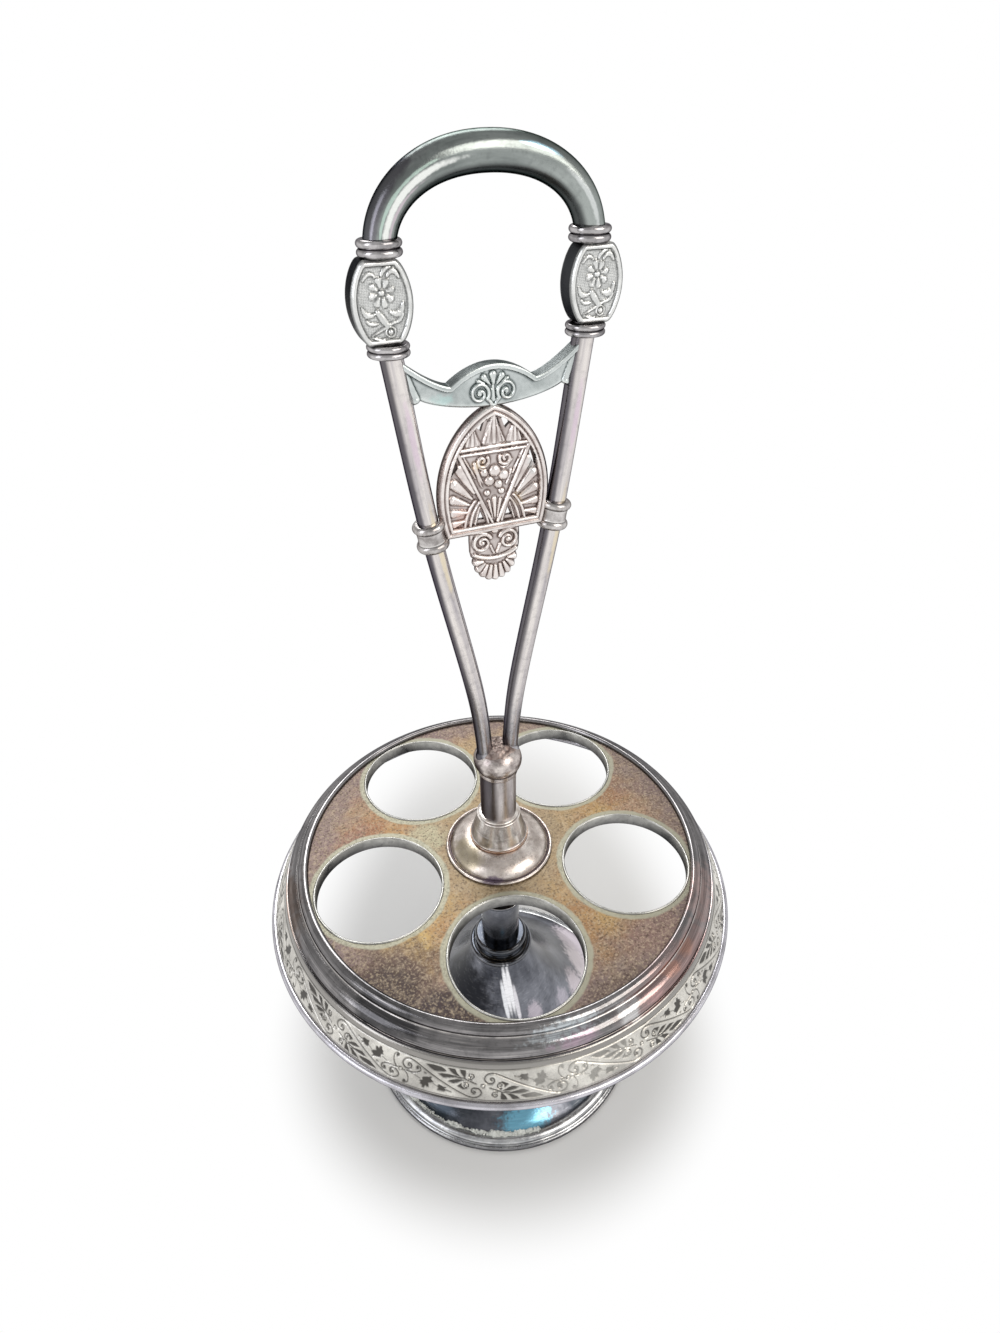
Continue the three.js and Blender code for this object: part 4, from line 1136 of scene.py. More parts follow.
# The same plate on the foot, rubbed through to bright silver on its edges, with painted shade round the
# bottom of the ring.
FOOT = Finish("foot_plate", "#dcdddd", "#a3a4a7", "#333437", roughness=0.22, patch_mm=9, grazing="#66676a",
              spun=0.3, spots=(Spot((44, -42, 3), (46, 38, 9), "#56565a", 0.8, 2.5, 0.5),
                            # painted shade: a dark band round the bottom of the foot ring, as its contact
                            # shadow
                            Spot((0, 0, 0.9), (500, 500, 1.8), "#403f48", 0.85, 3.0, 0.15)))
# Warm bright silver plate on the boss, collar and ferrules.
WARM = Finish("warm_plate", "#efe6df", "#bdb2aa", "#75696a", roughness=0.28, metallic=0.92, patch_mm=5,
              contrast=0.15, edge="#c6bcb2", grazing="#7f7b79", spun=0.2,
              spots=(Spot((-16, -5, 138), (10, 14, 9), "#a79c82", 0.8, 3.0, 0.4),
                     Spot((-11, -18.5, 134.5), (9, 4, 2.5), "#6d5e70", 0.9, 2.0, 0.4),
                     Spot((14, 12, 136), (6, 6, 5), "#7c5f6c", 0.7, 2.0, 0.4),
                     Spot((-19, 10, 136), (4, 8, 4), "#7d6a5d", 0.7, 2.0, 0.4),
                     Spot((17, 2, 134.5), (5, 7, 3), "#8a6f79", 0.3, 2.0, 0.4)))
# Turned and polished, gone brown where it meets the solder: a soft shine with mauve-brown clouds.
KNOP = Finish("knop_plate", "#e2d9d4", "#9d9390", "#4c4243", roughness=0.28, patch_mm=3.4, contrast=0.12,
              edge="#d6cec7", grazing="#6f6b6a", spun=0.2,
              spots=(Spot((0, 0, 188), (10, 10, 5.5), "#84716b", 0.85, 2.4, 0.4),
                     Spot((-9, -2, 181), (4, 6, 6), "#5d5355", 0.8, 2.0, 0.4)))
# Turned and bright, with upright brown streaks left by drips: pale, glossy and striped.
SLEEVE = Finish("sleeve_plate", "#fffaf4", "#d2c7be", "#85797a", roughness=0.18, metallic=0.75, patch_mm=3,
                streak=5, contrast=0.12, edge="#fbf6f0", grazing="#7f7b79", spun=0.15,
                spots=(Spot((11, 2, 144), (4, 8, 8), "#7d6b70", 0.8, 2.0, 0.4),
                       Spot((-9, -6.5, 143), (3.5, 4, 9), "#84745e", 0.8, 2.0, 0.4),
                       Spot((-3.5, -10, 143), (1.6, 3, 9), "#9b8d80", 0.7, 2.0, 0.4),
                       Spot((5.5, -9, 143), (1.8, 3, 9), "#a2958e", 0.75, 2.0, 0.4)))
# Cast, filed and polished in small clouds: even pale silver that takes the rod's reflection.
CLAMP = Finish("clamp_plate", "#dad6d4", "#a19c9a", "#5e5a59", roughness=0.22, patch_mm=3, grazing="#858282")
# Drawn, with long upright streaks: a pale middle between two dark violet flanks of painted shade.
STEM = DrawnBar("stem_plate", "#ddd7d5", "#b5aeae", "#5f5754", roughness=0.3, patch_mm=4, streak=8,
                grazing="#8c8886", flank_shade="#48434a", flank_from=3.2, flank_to=7.2, one_side=0.55)
# Drawn and rubbed by hands: a bright line along a mauve-grey bar, partly rubbing and partly painted
# highlight, with near-black flanks of painted shade.
RODS = DrawnBar("rod_plate", "#ebe5e1", "#b5b0b4", "#67656b", roughness=0.2, patch_mm=2.6, streak=26,
                grazing="#77757c", flank_shade="#423f47", flank_from=1.8, flank_to=3.3, one_side=0.35,
                spots=(Spot((0, 0, 0), (7, 7, 40), "#a7a7ad", 0.75, 6.0, 0.4),
                       # painted highlights: cream and pink streaks down the front of the rods
                       Spot((-1.0, -2.6, 92), (1.5, 3, 24), "#f0e2c4", 0.75, 5.0, 0.4),
                       Spot((-0.4, -2.6, 128), (1.6, 3, 20), "#dcc9d8", 0.75, 5.0, 0.4)))
# Gunmetal-grey tarnish on the part that the hand holds, with painted shade underneath and painted highlight
# streaks along its front.
ARCH = DrawnBar("arch_plate", "#a9afac", "#7e8482", "#4c5051", roughness=0.2, patch_mm=7, streak=6,
                grazing="#5c605e", flank_shade="#2c2e30", flank_from=3.4, flank_to=6.4, one_side=1.0,
                # painted shade and painted highlights: dark stripes beside pale, green, pink and blue streaks
                # along the front of the arch
                spots=(Spot((-4.0, -2.0, 70), (3.0, 5.5, 26), "#4b484e", 0.85, 4.0, 0.3),
                       Spot((0.3, -4.4, 64), (1.2, 3.4, 25), "#fbfdf9", 0.9, 1.6, 0.3),
                       Spot((-1.0, -4.2, 66), (0.6, 3.0, 20), "#cfe6da", 0.7, 3.0, 0.4),
                       Spot((1.4, -4.2, 70), (0.6, 2.8, 20), "#dccdd6", 0.7, 3.0, 0.4),
                       Spot((-2.4, -3.4, 72), (1.2, 3.4, 14), "#77747b", 0.6, 3.0, 0.4),
                       Spot((-0.6, -4.0, 10), (1.2, 3.4, 15), "#dfe3e2", 0.75, 2.0, 0.4),
                       Spot((-2.2, -3.6, 27), (0.9, 3.0, 8), "#b9dcec", 0.9, 3.0, 0.4)))
# Cast and burnished: creamy crests with a faint gold and rose tinge over brown crevices.
CAST = Finish("cast_plate", "#f0e8e5", "#cfc4c0", "#8d807c", roughness=0.24, patch_mm=5, bump_mm=0.03,
              wall="#55504f", edge="#faf4f0", grazing="#9a9492",
              spots=(Spot((-5, -2, 300), (4, 3, 4), "#e3cba6", 0.6, 2.0, 0.5),
                     Spot((-11, -2, 284), (6, 3, 7), "#e0bdb2", 0.55, 3.0, 0.5),
                     Spot((12, -2, 299), (3, 3, 6), "#cfdcdc", 0.6, 3.0, 0.5),
                     Spot((8, -2, 288), (4, 3, 5), "#e3cfae", 0.5, 2.0, 0.5)))
# Cast and left matt: pale grey crests over darker hollows, with hardly any reflection.
FROST = Finish("frosted_cast_plate", "#e6e7e5", "#c6c7c5", "#868786", roughness=0.28, patch_mm=4,
               bump_mm=0.03, edge="#f6f6f4", grazing="#8c8c8c")
# Cast and polished: cool greenish silver with two faint painted reflections of the sky.
YOKE = Finish("yoke_plate", "#d9dfde", "#aeb5b4", "#858c8c", roughness=0.24, patch_mm=9, bump_mm=0.02,
              wall="#7f8383", edge="#e6eae8", grazing="#7c8080",
              spots=(Spot((-15, -2, 320), (7, 3, 3), "#c0dedb", 0.6, 2.0, 0.5),
                     Spot((-17, -2, 318), (4, 3, 1.5), "#e2d3bd", 0.6, 2.0, 0.5)))
# Turned with deep necks: bright beads parted by near-black lines of old polish.
FERRULE = Finish("ferrule_plate", "#c6c3c4", "#858285", "#39373a", roughness=0.2, patch_mm=4,
                 grazing="#6f6d70")
# Soft solder pooled between the rods, silvery where it was smoothed and brown from its flux in the dips.
SOLDER = Finish("browned_solder", "#b9aba4", "#7d6c66", "#4a3c37", roughness=0.46, patch_mm=1.8,
                contrast=0.14, bump_mm=0.04, grazing="#6d6664")
# Chalky crust of old polish that was never rinsed out of the joint.
CRUST = Finish("polish_crust", "#dddfda", "#b9bbb6", "#8f918c", roughness=0.85, metallic=0.0, patch_mm=3)
# Drawn tube with a rolled edge: dull pale rings with dark shadow inside.
COLLAR = Finish("hole_plate", "#bebdb8", "#979692", "#4c4b4e", roughness=0.3, patch_mm=9, grazing="#7c7b7a",
                edge="#c4c3bd")
# Turned copper, rubbed dull: a thin warm line under the collar.
COPPER = Finish("worn_copper", "#b98a66", "#8d6a52", "#4a3a30", roughness=0.3, patch_mm=4)
# Turned brass, oiled and dark: brown where it is seen at all.
BRASS = Finish("dark_brass", "#6a6259", "#45413d", "#201f1e", roughness=0.32, patch_mm=6)
# Cut steel, dull and grey, with no plate on it.
STEEL = Finish("plain_steel", "#8b8b8e", "#66666a", "#3a3836", roughness=0.4, patch_mm=5)
# Drawn wire, worn cool and bright on its crest: a clear line under the band.
LIP = Finish("lip_plate", "#dcdae2", "#acaab0", "#5a585c", roughness=0.24, patch_mm=14, grazing="#66656a",
             spun=0.2)
# Frosted, then engraved: a pale powdery ground with crisp dark lines.
BAND = EngravedBand("engraved_plate", "#f0ede5", "#bbb8b2", "#45423f", roughness=0.36, patch_mm=13,
                    bump_mm=0.03, grain_mm=0.35)
# Rolled and long unpolished: granular gold and brown, dark towards the front left.
PLATE = TarnishedPlate("tarnished_plate", "#bfae94", "#796b54", "#38271d", roughness=0.42, metallic=0.6,
                       bump_mm=0.03, holes=hole_middles(),
                       spots=(Spot((-27, 15, 133), (13, 17, 3), "#8b8871", 0.8, 5.0, 0.5),
                              Spot((-62, -44, 133), (44, 26, 9), "#493832", 0.92, 6.0, 0.5),
                              Spot((-42, -66, 133), (34, 15, 9), "#332826", 0.9, 4.0, 0.5),
                              Spot((-78, -8, 133), (16, 30, 9), "#5b5152", 0.8, 5.0, 0.5),
                              Spot((20, -78, 133), (34, 11, 9), "#54453f", 0.7, 4.0, 0.5),
                              Spot((-30, -66, 133), (13, 6, 3), "#5c5548", 0.8, 2.0, 0.5),
                              Spot((-60, -48, 133), (16, 16, 6), "#362b28", 0.95, 4.0, 0.3),
                              Spot((-47, -61, 133), (19, 12, 6), "#33292a", 0.95, 4.0, 0.3),
                              Spot((-30, -50, 133), (10, 8, 3), "#a99b8b", 0.75, 0.9, 0.8),
                              Spot((62, -6, 133), (14, 22, 3), "#8b6f5a", 0.5, 4.0, 0.6),
                              Spot((38, -64, 133), (26, 16, 3), "#7a6259", 0.6, 5.0, 0.5),
                              Spot((-3, -27, 133), (1.6, 3.6, 2), "#4b4640", 0.9, 1.0, 0.3)))


# The object


def geometry_tree(name: str, sizes: dict[str, float | int]) -> tuple[Tree, bpy.types.bpy_prop_collection]:
    """Starts a geometry node tree with a geometry input and output.

    Args:
        name: The tree's name.
        sizes: Each named input and its value, which says whether it is a whole number.

    Returns:
        The tree, and what its inputs give.
    """
    tree = bpy.data.node_groups.new(name, "GeometryNodeTree")
    tree.interface.new_socket("Geometry", in_out="INPUT", socket_type="NodeSocketGeometry")
    for key, value in sizes.items():
        kind = "NodeSocketInt" if isinstance(value, int) else "NodeSocketFloat"
        tree.interface.new_socket(key, in_out="INPUT", socket_type=kind)
    tree.interface.new_socket("Geometry", in_out="OUTPUT", socket_type="NodeSocketGeometry")
    return tree, add(tree, "NodeGroupInput").outputs


def applied(obj: bpy.types.Object, tree: Tree, last: Wire, sizes: dict[str, float | int],
            finish: Finish) -> bpy.types.Object:
    """Ends a geometry node tree, runs it on an object and keeps the plain result.

    Args:
        obj: The object that takes the tree.
        tree: The tree, with its geometry input first.
        last: The geometry that comes out of it.
        sizes: Value of each named input.
        finish: The finish that the result takes.

    Returns:
        A plain mesh object at the origin, with no modifier.
    """
    real = add(tree, "GeometryNodeRealizeInstances", {"Geometry": last})
    coat = add(tree, "GeometryNodeSetMaterial", {"Geometry": real, "Material": finish.material()})
    add(tree, "NodeGroupOutput", {"Geometry": coat})
    modifier = obj.modifiers.new(tree.name, "NODES")
    modifier.node_group = tree
    for item in tree.interface.items_tree:
        if item.in_out == "INPUT" and item.name in sizes:
            modifier[item.identifier] = sizes[item.name]
    graph = bpy.context.evaluated_depsgraph_get()
    mesh = bpy.data.meshes.new_from_object(obj.evaluated_get(graph))
    obj.modifiers.remove(modifier)
    obj.data = mesh
    return obj


@dataclass
class Foot:
    """Foot ring, trumpet bell and pedestal, with the spindle that clamps them."""

    wall: float = 1.2
    foot_run: float = 0.25
    foot_lift: float = 0.054
    neck_flare: float = 0.226
    neck_start: float = 0.496
    ring_bead: float = 1.2
    collar_bead: float = 1.5
    collar_neck: float = 12.0
    thread_depth: float = 0.45
    thread_pitch: float = 1.0
    crumb: float = 1.15
    crumbs: int = 620

    def build(self) -> None:
        """Makes every piece of the foot."""
        self.ring()
        self.bell()
        self.pedestal()
        self.fastening()
        self.crust()

    def ring(self) -> None:
        """Foot ring: a half-round bead below a hollow moulding."""
        piece = box("foot_ring")
        land = box("foot_bell").radius + SEAM
        half = self.ring_bead
        profile = [
            (land - 1.25, 0.0),
            *arc((piece.radius - half, half), half, half, -90, 78, 12),
            (piece.radius - half - 0.1, 2 * half - 0.25),
            *arc((land, 2 * half - 0.1), piece.radius - 1.9 - land, piece.top - 2 * half + 0.1, 4, 90, 8),
            (land - 1.25, piece.top),
        ]
        ring = turned("foot_ring_turned", eased(profile, 0.12), 256)
        settle(ring, Body.STAND, FOOT, "dark_silver", "foot_ring")

    def bell(self) -> None:
        """Spun trumpet bell, one even wall thick."""
        bell = box("foot_bell")
        neck = box("pedestal_collar").radius - 1.4
        drop = bell.radius - neck
        ends = [(bell.radius, bell.bottom),
                (bell.radius - drop * self.foot_run, bell.bottom + bell.tall * self.foot_lift),
                (neck + drop * self.neck_flare, bell.bottom + bell.tall * self.neck_start), (neck, bell.top)]
        side = np.array(bezier(ends, 64))
        along = np.gradient(side, axis=0)
        along /= np.linalg.norm(along, axis=1)[:, None]
        inner = side + np.c_[-along[:, 1], along[:, 0]] * self.wall
        ceiling = bell.top - self.wall
        inner = inner[(inner[:, 1] > bell.bottom + 0.02) & (inner[:, 1] < ceiling)]
        bore = spindle_bore()
        profile = [*map(tuple, side), (bore, bell.top), (bore, ceiling), (float(inner[-1][0]), ceiling),
                   *map(tuple, inner[::-1]), (bell.radius - self.wall, bell.bottom)]
        settle(turned("bell_spun", profile, 256), Body.STAND, BELL, "dark_silver", "foot_bell")

    def pedestal(self) -> None:
        """Collar of two beads on the bell, and the plain column above it."""
        collar, column = box("pedestal_collar"), box("pedestal_column")
        bore, half, narrow = spindle_bore(), self.collar_bead, self.collar_neck
        waist = collar.radius - half - 0.6
        profile = [
            (bore, collar.bottom),
            *arc((collar.radius - half, collar.bottom + half), half, half, -90, 84, 12),
            (collar.radius - half - 0.4, collar.bottom + 2 * half),
            *arc((waist, collar.bottom + 4.7), waist - (narrow - half), 1.5, 265, 180, 8),
            *arc((narrow - half, collar.top - half), half, half, -84, 90, 12),
            (bore, collar.top),
        ]
        pipe = eased(tube(column.radius - 1.4, column), 0.3)
        for node, way, outline in (("pedestal_collar", "turned", profile),
                                   ("pedestal_column", "drawn", pipe)):
            settle(turned(f"{node}_{way}", outline, 128), Body.STAND, BELL, "dark_silver", node)

    def fastening(self) -> None:
        """Washers, journal, spindle and nut that hold the stand together."""
        for node, finish, slot in (
            ("bearing_washer", BELL, "copper"),
            ("journal", BRASS, "copper"),
            ("clamping_washer", COPPER, "copper"),
            ("bell_washer", STEEL, "steel"),
        ):
            profile = eased(tube(spindle_bore(), box(node)), 0.2)
            settle(turned(node + "_turned", profile, 96), Body.STAND, finish, slot, node)
        settle(self.threaded_spindle(), Body.STAND, STEEL, "steel", "spindle")
        settle(self.nut(), Body.STAND, STEEL, "steel", "spindle_nut")

    def crust(self) -> None:
        """Crumbs of dried polish in the joint between bell and foot ring, scattered by geometry nodes."""
        bell = box("foot_bell")
        sizes = {"Radius": (bell.radius - 0.3) * MM, "Level": (bell.bottom + 0.35) * MM,
                 "Start": math.radians(-180), "Sweep": math.radians(84), "Crumb": self.crumb * MM,
                 "Count": self.crumbs, "Seed": 7}
        tree, given = geometry_tree("scatter_crumbs", sizes)
        arch = add(tree, "GeometryNodeCurveArc",
                   {"Resolution": 128, "Radius": given["Radius"], "Start Angle": given["Start"],
                    "Sweep Angle": given["Sweep"]})
        spots = add(tree, "GeometryNodeCurveToPoints", {"Curve": arch, "Count": given["Count"]})
        ranges = (((-0.4, -0.5, -0.2), (0.4, 0.5, 0.9)), ((0.5, 0.5, 0.3), (1.1, 1.1, 0.7)),
                  ((0, 0, 0), (TAU, TAU, TAU)))
        shake, grain, turn = (add(tree, "FunctionNodeRandomValue", {0: low, 1: high, "Seed": given["Seed"]},
                                  data_type="FLOAT_VECTOR") for low, high in ranges)
        offset = add(tree, "ShaderNodeVectorMath", {0: shake, "Scale": given["Crumb"]}, operation="SCALE")
        raised = add(tree, "ShaderNodeCombineXYZ", {"Z": given["Level"]})
        moved = add(tree, "ShaderNodeVectorMath", {0: offset, 1: raised}, operation="ADD")
        placed = add(tree, "GeometryNodeSetPosition", {"Geometry": spots, "Offset": moved})
        where = add(tree, "GeometryNodeInputPosition")
        patch = add(tree, "ShaderNodeTexNoise", {"Vector": where, "Scale": 110.0, "Detail": 2.0})
        thick = add(tree, "ShaderNodeMapRange",
                    {"Value": patch, "From Min": 0.42, "From Max": 0.62, "To Min": 0.3, "To Max": 1.3})
        scale = add(tree, "ShaderNodeVectorMath", {0: grain, "Scale": thick}, operation="SCALE")
        crumb = add(tree, "GeometryNodeMeshIcoSphere", {"Radius": given["Crumb"], "Subdivisions": 1})
        copies = add(tree, "GeometryNodeInstanceOnPoints",
                     {"Points": placed, "Instance": crumb, "Rotation": turn, "Scale": scale})
        empty = make_object("polish_crumbs", np.array([(0, 0, 5), (0.1, 0, 5), (0, 0.1, 5)]), [(0, 1, 2)])
        settle(applied(empty, tree, copies, sizes, CRUST), Body.STAND, CRUST, "dark_silver")

    def threaded_spindle(self) -> bpy.types.Object:
        """Spindle with a cut thread, its ridge one helix made by geometry nodes.

        Returns:
            The spindle.
        """
        rod = box("spindle")
        root, sunk = rod.radius - self.thread_depth, 0.05
        profile = [(0, rod.bottom), (root - 0.4, rod.bottom), (root, rod.bottom + 0.5), (root, rod.top - 0.5),
                   (root - 0.4, rod.top), (0, rod.top)]
        core = turned("spindle_threaded", profile, 48)
        sizes = {"Pitch": self.thread_pitch * MM, "Root": (root - sunk) * MM, "Bottom": (rod.bottom + 1) * MM,
                 "Length": (rod.tall - 2) * MM}
        tree, given = geometry_tree("thread_ridge", sizes)
        turns = add(tree, "ShaderNodeMath", {0: given["Length"], 1: given["Pitch"]}, operation="DIVIDE")
        helix = add(tree, "GeometryNodeCurveSpiral",
                    {"Resolution": 24, "Rotations": turns, "Start Radius": given["Root"],
                     "End Radius": given["Root"], "Height": given["Length"]})
        half = add(tree, "ShaderNodeMath", {0: given["Pitch"], 1: 0.42}, operation="MULTIPLY")
        shape = add(tree, "GeometryNodeCurvePrimitiveCircle", {"Resolution": 3, "Radius": half},
                    mode="RADIUS")
        ridge = add(tree, "GeometryNodeCurveToMesh",
                    {"Curve": helix, "Profile Curve": shape, "Fill Caps": True})
        lift = add(tree, "ShaderNodeCombineXYZ", {"Z": given["Bottom"]})
        placed = add(tree, "GeometryNodeTransform", {"Geometry": ridge, "Translation": lift})
        both = add(tree, "GeometryNodeJoinGeometry", {0: given["Geometry"]})
        tree.links.new(placed.outputs[0], both.inputs[0])
        return applied(core, tree, both, sizes, STEEL)

    def nut(self) -> bpy.types.Object:
        """Hexagon nut with chamfered corners.

        Returns:
            The nut.
        """
        nut = box("spindle_nut")
        half, corner = nut.half_width, 2 * nut.half_width / math.sqrt(3)
        bore, steps = spindle_bore(), 48
        rows = ((bore + 0.4, nut.bottom), (half - 0.1, nut.bottom), (corner, nut.bottom + 0.9),
                (corner, nut.top - 0.9), (half - 0.1, nut.top), (bore + 0.4, nut.top), (bore, nut.top - 0.4),
                (bore, nut.bottom + 0.4))
        places = []
        for radius, height in rows:
            for angle in TAU * np.arange(steps) / steps:
                reach = min(radius, half / math.cos(angle % (TAU / 6) - TAU / 12))
                places.append((reach * math.cos(angle), reach * math.sin(angle), height))
        return make_object("nut_hexagon", np.array(places), skin(numbered(len(rows), steps), closed=True), 25)


@dataclass
class Ornament:
    """One repeat of the band's engraving, flat: x runs round the band and y up it, in millimetres.

    A palmette pair and an ivy pair take turns, each alike under a half turn, with an engraved line
    between them that ends in a volute at both ends.
    """

    length: float
    half_height: float = 5.87
    line: float = 0.2
    depth: float = 0.27
    palmette_lobes: tuple[tuple[Point, ...], ...] = (
        ((6.4, -1.5), (7.4, -1.1), (8.6, -0.3), (10.0, 0.2), (12.0, -0.3), (11.0, -1.0), (9.4, -1.5),
         (7.4, -1.8)),
        ((7.6, -2.3), (9.8, -2.1), (12.2, -1.5), (13.6, -1.35), (15.5, -2.4), (13.6, -2.9), (11.4, -2.95),
         (9.2, -2.7)),
        ((12.4, -3.7), (14.4, -3.3), (17.0, -3.1), (18.6, -3.9), (20.2, -4.9), (17.2, -5.15), (14.4, -5.0),
         (13.2, -4.4)),
        ((7.6, -2.6), (9.6, -3.0), (11.2, -4.0), (12.3, -5.2), (9.7, -5.25), (9.0, -3.9)),
        ((6.0, -2.8), (6.8, -2.9), (7.8, -4.2), (8.1, -5.3), (5.9, -5.2), (5.8, -3.8)),
        ((4.7, 1.3), (6.6, 1.9), (8.8, 1.0), (7.7, 0.0), (7.1, -0.5), (7.3, 0.5), (6.4, 1.3), (5.4, 1.2)),
    )
    large_leaf: tuple[Point, ...] = (
        (7.0, -2.0), (8.2, -1.6), (8.0, -0.6), (8.9, -0.1), (10.4, 0.2), (11.5, 0.8), (11.1, -0.3),
        (12.1, -1.2), (11.2, -1.9), (10.3, -2.2), (10.5, -3.0), (10.7, -3.8), (9.9, -3.9), (9.4, -3.5),
        (8.9, -4.7), (8.2, -4.5), (8.2, -3.7), (7.3, -3.2), (7.6, -2.6),
    )
    small_leaf: tuple[Point, ...] = (
        (14.0, -1.7), (15.1, -2.0), (15.6, -2.4), (16.7, -2.2), (16.0, -3.0), (16.6, -3.6), (16.0, -4.2),
        (14.8, -4.1), (13.5, -4.2), (13.8, -3.2), (13.5, -2.5),
    )

    @property
    def step(self) -> float:
        """Distance from one centre to the next."""
        return self.length / 2

    def long_line(self) -> list[Point]:
        """The line from eye to eye of two volutes, starting at a centre's upper right.

        Returns:
            Its points.
        """
        head = [(3.0, 2.2), (2.55, 2.55), (2.75, 3.0), (3.4, 3.05), (3.85, 2.4), (3.6, 1.45), (2.5, 0.95),
                (1.25, 1.35), (0.55, 2.4), (0.75, 3.5), (1.7, 4.45), (3.3, 4.8), (5.0, 4.45), (8.0, 3.15)]
        return [*head, (self.step / 2, 0.0), *[(self.step - x, -y) for x, y in head[::-1]]]

    def cut(self, x: Array, y: Array) -> tuple[Array, Array]:
        """Height of the engraving and the dark in it at each place.

        Args:
            x: Distance round the band from a palmette centre, up to one repeat.
            y: Distance above the middle of the ornament.

        Returns:
            Heights in millimetres, and darkness from 0 to 1.
        """
        dark = np.zeros(x.shape)
        light = np.zeros(x.shape)
        smooth = [tuple(p) for p in curve_through(self.long_line(), 110)]
        for shift in (-self.step, 0.0, self.step, self.length):
            distance, share = trace(smooth, x - shift, y)
            half = self.line * np.interp(share, [0, 0.12, 0.3, 0.7, 0.88, 1], [1.5, 1.35, 1, 1, 1.35, 1.5])
            self.mark(dark, 0.9, distance, half + 0.16, half - 0.1)
            self.mark(light, 0.14, np.abs(distance - 0.62), 0.4, 0.05)
        for shift in (-self.length, 0.0, self.length):
            for turn in (1, -1):
                self.palmette(turn * (x - shift), turn * y, dark, light)
                self.ivy(turn * (x - shift - self.step), turn * y, dark, light)
        for shift in (0.0, self.step, self.length):
            reach = np.hypot(x - shift, y)
            self.mark(dark, 0.8, np.abs(reach - 0.72), 0.24, 0.05)
            np.maximum(light, 0.32 * np.sqrt(np.clip(1 - (reach / 0.55) ** 2, 0, 1)), out=light)
        for level in (self.half_height, -self.half_height + 0.1):
            self.mark(dark, 0.7, np.abs(y - level), 0.28, 0.08)
        return light * (1 - dark) - self.depth * smooth_step(dark, 0.1, 0.8), dark

    def mark(self, picture: Array, amount: float, value: Array, low: Array | float,
             high: Array | float) -> None:
        """Raises a picture to an amount where a value passes from low to high.

        Args:
            picture: What is changed.
            amount: The most that it is raised to.
            value: Number at each place.
            low: Where the rise starts.
            high: Where it ends.
        """
        np.maximum(picture, amount * smooth_step(value, low, high), out=picture)

    def engrave(self, lines: Sequence[tuple[Sequence[Point], float]], x: Array, y: Array, dark: Array,
                amount: float = 0.9) -> None:
        """Cuts dark lines.

        Args:
            lines: Points and half width of each line.
            x: Distance round the band of each place.
            y: Distance above the middle of the ornament.
            dark: The dark picture that is changed.
            amount: How dark the lines are.
        """
        for points, half in lines:
            self.mark(dark, amount, trace(points, x, y)[0], half + 0.15, half - 0.08)

    def sink(self, outline: Sequence[Point], x: Array, y: Array, dark: Array) -> None:
        """Sinks a whole shape and darkens it.

        Args:
            outline: Its closed outline.
            x: Distance round the band of each place.
            y: Distance above the middle of the ornament.
            dark: The dark picture that is changed.
        """
        distance, _ = trace([*outline, outline[0]], x, y)
        self.mark(dark, 1.0, np.where(inside([outline], x, y), distance, -distance), -0.16, 0.12)

    def palmette(self, x: Array, y: Array, dark: Array, light: Array) -> None:
        """Cuts the palmette and its curls to the right of a centre at the origin.

        Args:
            x: Distance round the band from the centre.
            y: Distance above the middle of the ornament.
            dark: The dark picture that is changed.
            light: The raised picture that is changed.
        """
        for lobe in self.palmette_lobes:
            self.sink(lobe, x, y, dark)
        upper = volute((5.8, 0.35), 1.25, -1.15, 300, 22)
        lower = volute((4.15, -3.35), 1.3, 1.25, 60, 22)
        self.engrave([(upper, 0.17), (lower, 0.19), (((2.3, -0.6), (4.4, -1.4), (6.6, -2.3)), 0.2),
                      (((6.2, -2.5), (7.6, -2.2), (9.4, -2.4)), 0.25)], x, y, dark)
        for curl in (upper, lower):
            self.mark(light, 0.15, np.abs(trace(curl, x, y)[0] - 0.45), 0.3, 0.05)

    def ivy(self, x: Array, y: Array, dark: Array, light: Array) -> None:
        """Cuts the ivy spray and its curls to the right of a centre at the origin.

        Args:
            x: Distance round the band from the centre.
            y: Distance above the middle of the ornament.
            dark: The dark picture that is changed.
            light: The raised picture that is changed.
        """
        for leaf in (self.large_leaf, self.small_leaf):
            self.sink(leaf, x, y, dark)
        reach = [(1.2, -0.1), *bezier([(2.5, 0.05), (5.2, -0.1), (7.5, 1.0), (7.3, 2.3)], 10),
                 (6.8, 2.9), (6.1, 3.05), (5.7, 2.6)]
        hook = bezier([(-1.9, 0.5), (-3.4, 1.8), (-4.2, 5.6), (-1.3, 5.7), (-1.2, 4.7)], 14)
        self.engrave([(reach, 0.22), (hook, 0.17)], x, y, dark)
        self.engrave([(((5.3, -0.5), (7.4, -1.3)), 0.12), (((11.8, -1.7), (13.7, -2.7)), 0.12),
                      (((16.4, -3.3), (18.3, -3.7)), 0.2), (((8.7, 1.5), (9.3, 1.4)), 0.3)], x, y, dark, 0.7)
        for across, up in ((6.05, 2.25), (-1.75, 4.35)):
            self.mark(dark, 1.0, np.hypot(x - across, y - up), 0.72, 0.42)
        self.mark(light, 0.15, np.abs(trace(reach, x, y)[0] - 0.5), 0.3, 0.05)


